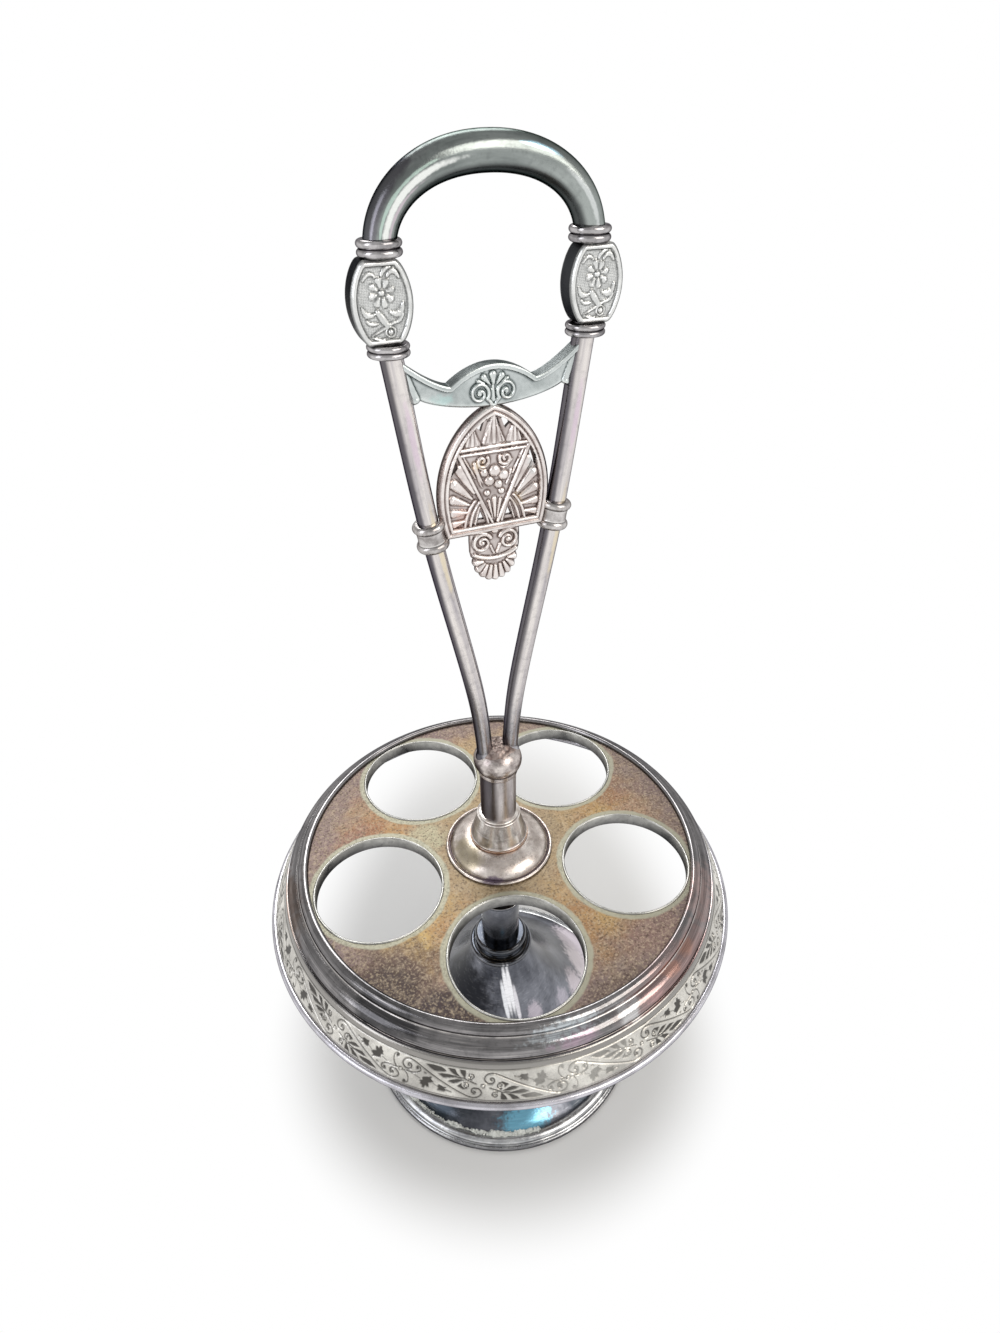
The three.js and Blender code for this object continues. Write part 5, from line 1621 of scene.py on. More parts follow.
@dataclass
class Tray:
    """The turning tray: plate, hole collars, boss, drum moulding, engraved band and lip wire."""

    repeats: int = 10
    columns: int = 190
    rows: int = 41
    first_centre: float = -115.2
    field_top: float = 0.165
    field_low: float = 0.965
    centre_line: float = 0.565
    band_wall: float = 1.2
    bulge: float = 0.35
    lip_radius: float = 1.4
    boss_bead: float = 0.6
    boss_crown: float = 11.8
    boss_bore: float = 6.5
    hub_wall: float = 2.5
    flange: float = 1.2

    def build(self) -> None:
        """Makes every piece of the tray."""
        self.plate()
        self.collars()
        self.boss()
        self.hub()
        self.moulding()
        self.band()
        self.lip()

    def plate(self) -> None:
        """Flat plate with its five holes."""
        piece = box("tray_plate")
        hub = box("journal").radius + self.hub_wall + 0.15
        hole = box("bottle_collar_1").half_width + 0.03
        loops = [arc(middle, radius, radius, 0, 360 - 360 / count, count - 1)
                 for middle, radius, count in (((0, 0), piece.radius, 240), ((0, 0), hub, 48),
                                               *((m, hole, 96) for m in hole_middles()))]
        flat, triangles = sheet(loops)
        count = len(flat)
        places = np.vstack([np.c_[flat, np.full(count, level)] for level in (piece.top, piece.bottom)])
        faces = [tuple(t) for t in triangles] + [(a + count, c + count, b + count) for a, b, c in triangles]
        start = 0
        for loop in loops:
            for i in range(len(loop)):
                a, b = start + i, start + (i + 1) % len(loop)
                faces.append((b, b + count, a + count, a) if start else (a, a + count, b + count, b))
            start += len(loop)
        plate = make_object("plate_pierced", places, faces)
        settle(plate, Body.TRAY, PLATE, "tarnished_silver", "tray_plate")

    def collars(self) -> None:
        """A drawn collar with a rolled lip in each hole."""
        for i, middle in enumerate(hole_middles(), 1):
            piece = box(f"bottle_collar_{i}")
            outer, top = piece.half_width, piece.top
            profile = [(outer - 1, piece.bottom), (outer - 0.35, piece.bottom), (outer - 0.35, top - 1.2),
                       *arc((outer - 0.5, top - 0.5), 0.5, 0.5, -20, 180, 10)]
            collar = turned(f"hole_collar_{i}", eased(profile, 0.1, 2), 128, middle)
            heights = np.array([v.co.z for v in collar.data.vertices]) / MM
            # painted shade on the inner wall below the rolled lip
            paint(collar, "hollow", smooth_step(heights, top - 0.8, top - 1.5) * 0.75)
            settle(collar, Body.TRAY, COLLAR, "warm_silver", f"bottle_collar_{i}")

    def boss(self) -> None:
        """Spun boss: a bright bead, a trough and a dome round the stem."""
        piece = box("tray_boss")
        foot, top, half, crown = piece.bottom, piece.top, self.boss_bead, self.boss_crown
        trough = piece.radius - 2 * half
        dome = bezier([(trough - 0.5, foot + 0.9), (trough - 1.2, foot + 3.6), (crown + 5.0, top - 0.9),
                       (crown + 0.6, top - 0.05), (crown - 2, top)], 26)
        profile = [
            *arc((piece.radius - half, foot + half), half, half, -90, 165, 16),
            *dome,
            (self.boss_bore, top),
            (self.boss_bore, top - 0.9),
            *[(r - 0.55, max(z - 0.85, foot)) for r, z in dome[::-1]],
        ]
        boss = turned("boss_spun", profile, 192)
        reach = np.array([math.hypot(v.co.x, v.co.y) for v in boss.data.vertices]) / MM
        paint(boss, "hollow", 0.45 * smooth_step(np.abs(reach - trough), 1.6, 0.2))
        settle(boss, Body.TRAY, WARM, "warm_silver", "tray_boss")

    def hub(self) -> None:
        """Sleeve that runs on the journal, with the flange that carries the plate."""
        piece = box("hub_sleeve")
        bore = box("journal").radius + 0.1
        outer = bore + self.hub_wall
        level = box("tray_plate").bottom - SEAM
        profile = [(bore, piece.bottom), (outer, piece.bottom), (outer, level - self.flange),
                   (piece.radius, level - self.flange), (piece.radius, level), (outer, level),
                   (outer, piece.top), (bore, piece.top)]
        settle(turned("hub_turned", eased(profile, 0.2), 96), Body.TRAY, BRASS, "copper", "hub_sleeve")

    def moulding(self) -> None:
        """Drum moulding: a roll, a bead and an ovolo with thin bright steps between them."""
        piece, plate = box("rim_moulding"), box("tray_plate")
        edge, top, bottom = piece.radius, piece.top, piece.bottom
        foot, level = plate.radius - 1, plate.top + SEAM
        crest = foot + 1.2
        profile = [
            (foot, level),
            *arc((crest, level), 1.2, top - level, 165, 90, 8),
            *arc((crest, top - 2.7), 3.0, 2.7, 86, 0, 16),
            (crest + 3.0, top - 3.0),
            (crest + 3.25, top - 3.3),
            *arc((crest + 3.4, top - 7.9), 4.6, 4.5, 88, 0, 22),
            (crest + 8.0, top - 8.15),
            *arc((edge - 0.32, top - 8.35), 0.32, 0.32, 60, -70, 6),
            (edge - 0.5, bottom + 0.15),
            (edge - 0.5, bottom),
            (edge - 1.8, bottom),
            *arc((crest + 3.4, top - 7.9), 3.5, 3.4, 0, 90, 10),
            *arc((crest, top - 2.7), 1.9, 1.6, 0, 90, 8),
            (foot + 1, level),
        ]
        settle(turned("moulding_spun", profile, 320), Body.TRAY, DARK, "dark_silver", "rim_moulding")

    def band(self) -> None:
        """Engraved band: one repeat is cut as real relief and geometry nodes set it round the drum."""
        sizes = {"Repeats": self.repeats, "Weld": 2e-6}
        tile = self.band_tile()
        tree, given = geometry_tree("repeat_round", sizes)
        spots = add(tree, "GeometryNodePoints", {"Count": given["Repeats"]})
        turn = add(tree, "ShaderNodeMath", {0: TAU, 1: given["Repeats"]}, operation="DIVIDE")
        index = add(tree, "GeometryNodeInputIndex")
        angle = add(tree, "ShaderNodeMath", {0: index, 1: turn}, operation="MULTIPLY")
        rotation = add(tree, "ShaderNodeCombineXYZ", {"Z": angle})
        copies = add(tree, "GeometryNodeInstanceOnPoints",
                     {"Points": spots, "Instance": given["Geometry"], "Rotation": rotation})
        loose = add(tree, "GeometryNodeRealizeInstances", {"Geometry": copies})
        weld = add(tree, "GeometryNodeMergeByDistance", {"Geometry": loose, "Distance": given["Weld"]})
        settle(applied(tile, tree, weld, sizes, BAND), Body.TRAY, BAND, "frosted_silver", "engraved_band")

    def band_tile(self) -> bpy.types.Object:
        """One repeat of the band, its cuts and its polished strips painted on it.

        Returns:
            The repeat.
        """
        piece = box("engraved_band")
        lower, upper = piece.radius - 0.02, box("rim_moulding").radius
        slope = math.hypot(piece.tall, lower - upper)
        length = TAU * (lower + upper) / 2 / self.repeats
        shares = np.concatenate([np.linspace(0, self.field_top, 5)[:-1],
                                 np.linspace(self.field_top, self.field_low, self.rows), [0.982, 1.0]])
        across, down = np.meshgrid(np.linspace(0, 1, self.columns + 1), shares)
        height, dark = Ornament(length).cut(across * length, slope * (self.centre_line - down))
        edge = smooth_step(np.minimum(down, 1 - down), 0.0, 0.03)
        rise = height * edge - 0.13 - 0.25 * (1 - edge)
        bulge = self.bulge * np.sin(np.pi * down)
        radius = upper + (lower - upper) * down + bulge + rise * piece.tall / slope
        level = piece.top - piece.tall * down + rise * (lower - upper) / slope
        half = (self.field_low - self.field_top) / 2
        polish = smooth_step(np.abs(down - (self.field_top + self.field_low) / 2), half - 0.004, half + 0.012)
        back = np.array([[1.0], [0.55], [0.0]])
        inner = np.clip(piece.top - piece.tall * back, piece.bottom + 0.02, piece.top - 0.02)
        across_back = np.ones((1, self.columns + 1))
        radius = np.vstack([radius, (upper + (lower - upper) * back - self.band_wall) * across_back])
        level = np.vstack([level, inner * across_back])
        shade = np.vstack([dark, 0.35 * np.ones((3, 1)) * across_back])
        polish = np.vstack([polish, np.ones((3, 1)) * across_back])
        angle = np.radians(self.first_centre) + across[0] * TAU / self.repeats
        places = np.stack([radius * np.cos(angle), radius * np.sin(angle), level], axis=-1).reshape(-1, 3)
        rings = numbered(len(level), self.columns + 1)
        faces = [(low[k], high[k], high[k + 1], low[k + 1])
                 for low, high in zip(rings, [*rings[1:], rings[0]]) for k in range(self.columns)]
        tile = make_object("band_engraved", places, faces, 60)
        paint(tile, "hollow", shade.ravel())
        paint(tile, "polish", polish.ravel())
        return tile

    def lip(self) -> None:
        """Round wire along the band's lower edge."""
        piece, half = box("lip_wire"), self.lip_radius
        profile = arc((piece.radius - half, piece.bottom + half), half, half, 0, 360 - 15, 23)
        settle(turned("lip_wire_drawn", profile, 320), Body.TRAY, LIP, "dark_silver", "lip_wire")


@dataclass
class Handle:
    """The fixed handle: stem, knop, rods, clamps, ferrules, cartouches, arch, yoke and plaque."""

    foot_spread: float = 4.6
    bend_spread: float = 7.3
    bend_rise: float = 30.0
    squareness: float = 2.14
    crown_radius: float = 4.5
    end_radius: float = 4.1
    neck: float = 1.4
    knop_bead: float = 6.2
    solder_rise: float = 1.2
    clamp_half: float = 4.6
    cartouche_end: float = 5.5

    def build(self) -> None:
        """Makes every piece of the handle."""
        self.stem()
        self.solder()
        for side, word in ((1, "right"), (-1, "left")):
            self.rod(side, word)
            self.clamp(side, word)
            self.ferrules(word)
            self.cartouche(word)
        self.arch()
        self.yoke()
        self.plaque()
        self.pendant()

    def stem(self) -> None:
        """Stem collar, stem and knop."""
        collar, stem, bore = box("stem_collar"), box("stem"), spindle_bore()
        foot, base, top = collar.radius, collar.bottom, collar.top
        profile = [
            (bore, base),
            (foot - 0.5, base),
            *arc((foot - 0.32, base + 0.32), 0.32, 0.32, -60, 90, 6),
            *bezier([(foot - 0.42, base + 0.75), (foot - 0.8, base + 1.9), (10.4, top - 0.8), (10.1, top)],
                    8),
            (bore, top),
        ]
        settle(turned("stem_collar_turned", profile, 128), Body.STAND, SLEEVE, "warm_silver", "stem_collar")
        inner = stem.radius - 0.6
        rings = [(inner, top + 0.02), (10.1, top + 0.02), (9.2, top + 3.0), (8.6, top + 5.6),
                 *arc((8.5, top + 6.0), 0.4, 0.36, -60, 80, 6), (8.05, top + 6.5),
                 *arc((7.85, top + 6.85), 0.4, 0.36, -60, 80, 6), (stem.radius + 0.05, top + 7.5),
                 (inner, top + 7.5)]
        settle(turned("stem_foot_rings", rings, 128), Body.STAND, SLEEVE, "warm_silver")
        heights = np.linspace(stem.bottom, stem.top + self.neck, 25)
        bar = swept("stem_drawn", np.c_[0 * heights, heights], np.full(len(heights), stem.radius), 96)
        settle(bar, Body.STAND, STEM, "warm_silver", "stem")
        low = stem.top + self.neck + 0.02
        radius, middle, half = self.knop_shape()
        top = middle + half
        profile = [(0, low), (7.3, low), (7.5, low + 0.3), (7.6, low + 0.6),
                   *arc((radius - self.knop_bead, middle), self.knop_bead, half, -44, 84, 30),
                   (radius - 7.4, top - 0.1), (0, top - 0.35)]
        settle(turned("knop_turned", profile, 128), Body.STAND, KNOP, "warm_silver", "knop")

    def knop_shape(self) -> Point3:
        """Radius of the knop's bead, height of its middle and half its height."""
        knop = box("knop")
        middle = knop.level + 0.85
        return knop.radius, middle, knop.top - middle

    def solder(self) -> None:
        """Uneven pool of solder on the knop, between and round the feet of the rods."""
        radius, middle, half = self.knop_shape()
        inner = radius - self.knop_bead
        count, sides = 22, 72
        places = [(0.0, 0.0, middle), (0.0, 0.0, middle + half + self.solder_rise)]
        for share in np.arange(1, count + 1) / count:
            for angle in TAU * np.arange(sides) / sides:
                edge = 7.3 + 0.6 * math.cos(2 * angle) + 0.4 * math.sin(3 * angle + 1)
                edge += 0.3 * math.sin(7 * angle)
                reach = edge * share
                x, y = reach * math.cos(angle), reach * math.sin(angle)
                lump = math.sin(1.5 * x + 0.8) * math.cos(1.9 * y + 0.6 * x)
                lump += 0.6 * math.sin(2.6 * y - 1.7 * x)
                crown = middle + half * math.sqrt(1 - (max(reach - inner, 0) / self.knop_bead) ** 2)
                places.append((x, y, crown + (1.1 + 0.42 * lump) * (1 - share**3) - 0.12 - 0.2 * share**8))
        faces = skin([[0] * sides, *numbered(count, sides, 2)[::-1], [1] * sides])
        settle(make_object("knop_solder", np.array(places), faces, 60), Body.STAND, SOLDER, "warm_silver")

    def rod_line(self, side: int, steps: int) -> Array:
        """Middle of a rod from the knop to the cartouche, through the clamp.

        Args:
            side: 1 for the right rod and -1 for the left one.
            steps: How many stretches it is cut into.

        Returns:
            Rows of x and z.
        """
        start = box("knop").level
        clamp, ferrule = box("clamp_right"), box("lower_ferrule_right")
        points = [(self.foot_spread, start), (self.bend_spread, start + self.bend_rise),
                  (clamp.middle[0], clamp.level), (ferrule.middle[0], box("rod_right").top)]
        return curve_through([(side * x, z) for x, z in points], steps)

    def rod(self, side: int, word: str) -> None:
        """Drawn rod with a solder fillet where it enters the knop.

        Args:
            side: 1 for the right rod and -1 for the left one.
            word: The same in the frame's names.
        """
        line = self.rod_line(side, 150)
        line = line[line[:, 1] > box("knop").top - 3.2]
        away = line[:, 1] - line[0, 1]
        fillet = 0.8 * np.exp(-((away / 1.9) ** 2))
        radii = box(f"rod_{word}").front - 0.22 * smooth_step(away, 40, 4) + fillet
        settle(swept(f"rod_{word}_drawn", line, radii), Body.STAND, RODS, "rod_silver", f"rod_{word}")

    def clamp(self, side: int, word: str) -> None:
        """Cast sleeve with a bead at each end, square to its rod.

        Args:
            side: 1 for the right rod and -1 for the left one.
            word: The same in the frame's names.
        """
        level = box(f"clamp_{word}").level
        line = self.rod_line(side, 200)
        index = int(np.argmin(np.abs(line[:, 1] - level)))
        along = line[index + 2] - line[index - 2]
        half = self.clamp_half
        profile = [
            (2.9, -half),
            *arc((3.6, -half + 1.5), 1.5, 1.5, -90, 62, 12),
            *bezier([(4.35, -1.75), (4.15, -1.0), (4.15, 1.0), (4.35, 1.75)], 6),
            *arc((3.6, half - 1.35), 1.5, 1.35, -62, 90, 12),
            (2.9, half),
        ]
        obj = turned(f"clamp_{word}_cast", profile, 96)
        lean = Matrix.Rotation(math.atan2(along[0], along[1]), 4, "Y")
        obj.data.transform(Matrix.Translation((line[index][0] * MM, 0, level * MM)) @ lean)
        settle(obj, Body.STAND, CLAMP, "warm_silver", f"clamp_{word}")

    def ferrules(self, word: str) -> None:
        """The beaded ferrules below and above a cartouche.

        Args:
            word: Which side they are on, as in the frame's names.
        """
        for part, inner in (("lower", 2.9), ("upper", 3.4)):
            node = f"{part}_ferrule_{word}"
            piece = box(node)
            half = piece.tall / 4
            profile = [
                (inner, piece.bottom),
                *arc((piece.half_width - half, piece.bottom + half), half, half, -90, 70, 10),
                *arc((piece.half_width - half, piece.bottom + 3 * half), half, half, -70, 90, 10),
                (inner, piece.top),
            ]
            obj = turned(f"{node}_turned", profile, 96, (piece.middle[0], 0.0))
            settle(obj, Body.STAND, FERRULE, "warm_silver", node)

    def cartouche(self, word: str) -> None:
        """Cast cartouche: a plain border round a flower, its leaves and a ringed bead.

        Args:
            word: Which side it is on, as in the frame's names.
        """
        piece, end = box(f"cartouche_{word}"), self.cartouche_end
        centre, level, depth, wide = piece.middle[0], piece.level, piece.front, piece.half_width
        bottom, top = piece.bottom, piece.top
        right = bezier([(end - 1.8, bottom), (end + 0.1, bottom), (wide - 1.0, bottom + 4.2),
                        (wide + 3.0, level), (wide - 1.0, top - 4.2), (end + 0.1, top), (end - 1.8, top)], 34)
        outline = [(centre + x, z) for x, z in right] + [(centre - x, z) for x, z in right[::-1]]
        strokes = self.cartouche_strokes()

        def height(x: Array, z: Array) -> Array:
            """Half the thickness of the casting.

            Args:
                x: First coordinate of each place.
                z: Second coordinate of each place.

            Returns:
                The number for each place.
            """
            away, _ = trace([*outline, outline[0]], x, z)
            dx, dz = x - centre, z - level
            grain = np.sin(dx * 6.1 + 2.2 * np.sin(dz * 3.9)) * np.sin(dz * 5.7 + 1.8 * np.sin(dx * 4.3))
            field = smooth_step(away, 1.2, 1.65) * (0.7 - relief_of(strokes, dx, dz) - 0.07 * grain)
            return depth - 0.8 * smooth_step(away, 0.8, 0.0) - field

        plate = ReliefPlate(f"cartouche_{word}_cast", outline, height, spacing=0.22,
                            hollow=depth - 0.95, proud=depth - 0.3, ground=0.3)
        settle(plate.build(), Body.STAND, FROST, "cast_silver", f"cartouche_{word}")

    def cartouche_strokes(self) -> list[Stroke]:
        """Flower, stem, leaves and ringed bead of a cartouche, from its middle.

        Returns:
            The strokes.
        """
        strokes = [bead(0, 2.4, 0.8, 0.8), bead(1.5, -6.6, 0.7, 0.7)]
        for k in range(8):
            angle = TAU * (k + 0.3) / 8
            across, up = math.cos(angle), math.sin(angle)
            petal = ((1.5 * across, 2.4 + 1.5 * up), (2.6 * across, 2.4 + 2.8 * up))
            strokes.append(Stroke(petal, 0.35, 0.82, 0.4))
            strokes.append(bead(2.9 * across, 2.4 + 3.1 * up, 0.4, 0.55))
        ring = [(1.5 + 1.2 * math.cos(a), -6.6 + 1.2 * math.sin(a)) for a in np.linspace(0, TAU, 17)]
        strokes.append(Stroke(tuple(ring), 0.25, 0.25, 0.4))
        strokes.append(Stroke(((-1.4, -1.9), (0.7, -4.9)), 0.7, 0.8, 0.6, 0.95))
        lines = (
            ([(2.6, -4.4), (0.2, -5.6), (-3.4, -7.2)], 0.35, 0.2, 0.45),
            ([(1.6, -2.0), (4.6, -3.6), (5.2, -0.2)], 0.3, 0.35, 1.0),
            ([(2.4, -4.6), (4.4, -4.2), (5.0, -2.6)], 0.3, 0.3, 0.6),
            ([(-2.2, -2.2), (-4.6, -3.4), (-5.2, -0.6)], 0.3, 0.3, 0.75),
            ([(-1.6, -4.4), (-3.6, -5.0), (-4.4, -3.6)], 0.25, 0.25, 0.5),
            ([(1.6, 6.0), (3.2, 8.4), (4.6, 5.6)], 0.3, 0.3, 0.7),
            ([(0.2, 6.2), (0.9, 8.0), (2.6, 8.0)], 0.3, 0.25, 0.55),
            ([(-1.4, 6.0), (-2.8, 7.8), (-4.4, 5.4)], 0.25, 0.25, 0.5),
            ([(-3.2, -7.6), (-1.4, -8.6), (0.0, -8.0)], 0.25, 0.2, 0.35),
        )
        for ends, start, end, middle in lines:
            strokes.append(Stroke(tuple(bezier(ends, 8)), start, end, 0.42, middle))
        return strokes

    def arch(self) -> None:
        """Forged arch, thickest at the crown."""
        piece = box("handle_arch")
        spread, rise = piece.radius - self.end_radius, piece.top - self.crown_radius - piece.bottom
        angle = np.linspace(0, np.pi, 121)
        power = 2 / self.squareness
        across = np.sign(np.cos(angle)) * np.abs(np.cos(angle)) ** power
        line = np.c_[spread * across, piece.bottom + rise * np.abs(np.sin(angle)) ** power]
        radii = self.end_radius + (self.crown_radius - self.end_radius) * np.sin(angle) ** 3
        settle(swept("arch_forged", line, radii, 48), Body.STAND, ARCH, "gunmetal_silver", "handle_arch")

    def yoke_edge(self, steps: int) -> list[Point]:
        """Upper edge of the yoke from its crest through the valley up to the ferrule.

        Args:
            steps: How many stretches each of its two curves is cut into.

        Returns:
            Points in x and z.
        """
        piece, spread = box("yoke"), 12.7
        crest = piece.bottom + 11.9
        valley = crest - 4.7
        reach = box("lower_ferrule_right").middle[0] - 2.0
        shares = np.linspace(0, 1, steps + 1)
        crown = [(spread * s, crest - (crest - valley) * s**2) for s in shares]
        wing = [(spread + (reach - spread) * s, valley + (piece.top - valley) * s**1.4) for s in shares]
        return crown + wing[1:]

    def yoke(self) -> None:
        """Cast yoke: a flanged upper edge, a hollow face, two volutes and leaf wings."""
        piece, spread = box("yoke"), box("lower_ferrule_right").middle[0]
        edge = self.yoke_edge(24)
        under = [(23.0, 319.6), *bezier([(21.0, 320.6), (17.6, 318.6), (9.0, piece.bottom + 0.3),
                                         (0.0, piece.bottom + 0.2)], 18)]
        wing = [(spread - 0.6, edge[-1][1]), (25.9, 326.5), (24.6, 321.4), (23.9, 320.1), (23.0, 319.6)]
        half = [*edge, *wing, *under[1:]]
        outline = [*half[::-1], *[(-x, z) for x, z in half[1:-1]]]
        top_line = [*[(-x, z) for x, z in edge[1:][::-1]], *edge]
        low_line = [*[(-x, z) for x, z in under[:-1]], *under[::-1]]
        strokes = self.yoke_strokes()

        def height(x: Array, z: Array) -> Array:
            """Half the thickness of the casting.

            Args:
                x: First coordinate of each place.
                z: Second coordinate of each place.

            Returns:
                The number for each place.
            """
            above, _ = trace(top_line, x, z)
            below, _ = trace(low_line, x, z)
            flange = piece.front * smooth_step(above, 1.75, 1.35) - 0.25 * smooth_step(above, 0.35, 0.0)
            share = above / (above + below + 1e-6)
            face = 1.35 - 1.6 * share * (1 - share) - 0.45 * smooth_step(below, 0.6, 0.0)
            return np.maximum(face + relief_of(strokes, x, z), flange)

        plate = ReliefPlate("yoke_cast", outline, height, spacing=0.24, hollow=0.3, proud=1.5, ground=0.3)
        settle(plate.build(), Body.STAND, YOKE, "cast_silver", "yoke")

    def yoke_strokes(self) -> list[Stroke]:
        """Volutes, the fan of beads above them and the leaves of the wings.

        Returns:
            The strokes.
        """
        right = [
            Stroke(tuple(volute((4.0, 320.5), 2.75, -1.4, 215, 40, 1.7)), 0.55, 0.5, 1.05),
            Stroke(((1.85, 319.0), (0.9, 318.1), (0.25, 317.0)), 0.6, 0.5, 0.9),
            bead(4.0, 320.5, 0.75, 1.05),
            Stroke(((1.0, 322.8), (2.7, 324.9)), 0.3, 0.95, 1.0),
            Stroke(((2.6, 323.3), (4.3, 323.9)), 0.25, 0.6, 0.75),
            Stroke(tuple(bezier([(25.6, 331.2), (24.6, 327.0), (23.4, 324.4), (22.2, 321.4)], 8)), 0.5, 1.15,
                   0.75, 1.2),
            bead(22.3, 321.0, 1.25, 0.85),
        ]
        middle = Stroke(((0, 323.0), (0, 325.4)), 0.4, 1.15, 1.2)
        stalk = Stroke(((0, 322.6), (0, 318.6)), 0.4, 0.7, 0.7)
        return [middle, stalk, *right, *(s.mirrored() for s in right)]

    def plaque_outline(self) -> list[Point]:
        """Pointed outline of the plaque, anticlockwise.

        Returns:
            Points in x and z.
        """
        piece = box("plaque")
        wide, tip, base = piece.radius, piece.top, piece.top - 39.6
        shoulder = base + 12.2
        haunch = shoulder + (tip - shoulder) * 0.5
        point = (wide * 0.53, tip - (tip - shoulder) * 0.1)
        right = [*bezier([(16.0, base), (wide, (base + shoulder) / 2), (wide, shoulder)], 8),
                 *bezier([(wide, shoulder), (wide, haunch), point, (0, tip)], 26)[1:]]
        return [*right, *[(-x, z) for x, z in right[:-1][::-1]]]

    def plaque(self) -> None:
        """Pierced plaque: bevelled frame, three pointed leaves, funnel, flower and gadrooned fans."""
        outline = self.plaque_outline()
        strokes = self.plaque_strokes()

        def height(x: Array, z: Array) -> Array:
            """Half the thickness of the casting.

            Args:
                x: First coordinate of each place.
                z: Second coordinate of each place.

            Returns:
                The number for each place.
            """
            away, _ = trace([*outline, outline[0]], x, z)
            groove = 0.45 * smooth_step(np.abs(away - 1.95), 0.45, 0.1)
            lip = 0.08 * smooth_step(np.abs(away - 2.6), 0.5, 0.2)
            rim = 0.75 + 1.25 * smooth_step(away, 0.0, 1.0) - groove + lip
            field = (0.7 + relief_of(strokes, x, z)) * smooth_step(away, 2.2, 3.0)
            return np.maximum(field, rim * smooth_step(away, 3.4, 3.0))

        plate = ReliefPlate("plaque_cast", outline, height, self.piercings(), 0.25, 0.2, 1.9, ground=0.4)
        settle(plate.build(), Body.STAND, CAST, "cast_silver", "plaque")

    def piercings(self) -> list[list[Point]]:
        """Through cuts beside the middle leaf, beside the funnel and in the small arches.

        Returns:
            Closed outlines in x and z.
        """
        right = [
            [(2.2, 313.8), (3.7, 309.8), (5.5, 311.4)],
            [(11.6, 303.2), (11.3, 300.4), (13.4, 297.2), (12.9, 300.2)],
            [(3.4, 282.6), (5.6, 282.6), (4.5, 285.6)],
        ]
        return [h for cut in right for h in (cut, [(-x, z) for x, z in cut[::-1]])]

    def plaque_strokes(self) -> list[Stroke]:
        """Every raised line, leaf, lobe and bead inside the plaque's frame.

        Returns:
            The strokes.
        """
        right = [
            Stroke(((0, 305.1), (12.6, 305.1)), 0.62, 0.62, 1.05),
            Stroke(((0, 303.5), (10.8, 303.5)), 0.5, 0.5, 0.8),
            Stroke(((11.4, 304.8), (5.4, 291.4), (0.9, 281.4)), 0.75, 0.55, 1.05),
            Stroke(((9.4, 303.0), (5.9, 296.2)), 0.35, 0.3, 0.7),
            Stroke(((0, 280.7), (15.0, 280.7)), 0.6, 0.6, 0.95),
            Stroke(((1.9, 306.6), (0.3, 315.0)), 0.7, 0.25, 0.95),
            Stroke(((3.1, 306.4), (1.2, 311.4)), 0.45, 0.2, 0.75),
            Stroke(((6.4, 306.3), (6.5, 312.0)), 2.5, 0.3, 0.7),
            Stroke(((6.6, 306.2), (6.5, 312.2)), 0.7, 0.35, 1.1),
            Stroke(((5.0, 306.4), (6.2, 311.2)), 0.45, 0.2, 0.75),
            Stroke(((8.3, 306.2), (6.9, 311.0)), 0.5, 0.2, 0.75),
            Stroke(((9.9, 306.0), (8.6, 309.2)), 0.6, 0.3, 0.65),
            Stroke(((10.9, 299.6), (6.6, 291.8)), 1.5, 0.5, 0.95, 1.15),
            Stroke(((12.6, 295.2), (7.4, 290.2)), 1.65, 0.5, 1.1, 1.15),
            Stroke(((13.2, 290.4), (8.4, 288.4)), 1.55, 0.5, 1.05, 1.05),
            Stroke(((13.4, 286.2), (9.0, 286.0)), 1.4, 0.5, 1.0, 0.95),
            Stroke(((13.4, 282.6), (9.8, 283.3)), 1.2, 0.5, 0.9, 0.85),
            bead(12.7, 295.4, 0.8, 1.3),
            bead(13.4, 290.5, 0.7, 1.2),
            Stroke(tuple(bezier([(9.8, 281.2), (9.2, 286.0), (6.2, 289.2)], 8)), 0.55, 0.45, 0.95),
            Stroke(tuple(bezier([(8.0, 281.2), (7.4, 285.6), (4.8, 288.6)], 8)), 0.5, 0.4, 0.85),
            Stroke(tuple(bezier([(2.2, 281.4), (3.2, 285.8), (4.8, 288.6)], 8)), 0.5, 0.4, 0.85),
            Stroke(((6.4, 281.5), (4.9, 286.8)), 0.35, 0.3, 0.6),
            Stroke(((1.9, 288.4), (0.7, 282.8)), 0.5, 0.25, 0.8),
            bead(2.3, 291.0, 1.05, 1.0),
            Stroke(tuple(volute((3.6, 301.0), 1.9, 1.2, 150, 30, 1.5)), 0.6, 0.5, 1.0),
            Stroke(tuple(bezier([(5.6, 300.4), (4.2, 298.0), (2.6, 298.4)], 6)), 0.4, 0.35, 0.65),
            Stroke(tuple(bezier([(5.4, 297.2), (4.8, 295.0), (3.9, 293.0)], 6)), 0.4, 0.3, 0.65),
        ]
        middle = [
            Stroke(((0, 306.6), (0, 315.6)), 3.7, 0.4, 0.75),
            Stroke(((0, 306.4), (0, 315.4)), 0.75, 0.4, 1.25, 0.8),
            Stroke(((0, 289.0), (0, 283.0)), 0.75, 0.3, 0.9),
            bead(0.2, 297.6, 1.85, 1.35),
            bead(3.1, 295.9, 1.6, 1.15),
            bead(-1.5, 294.6, 1.6, 1.15),
            bead(1.4, 293.2, 1.35, 1.1),
            bead(-3.1, 297.3, 1.25, 1.0),
            Stroke(tuple(bezier([(-6.0, 300.6), (-5.6, 297.4), (-3.8, 294.6)], 8)), 0.6, 0.35, 0.8, 0.7),
        ]
        return [*right, *(s.mirrored() for s in right), *middle]

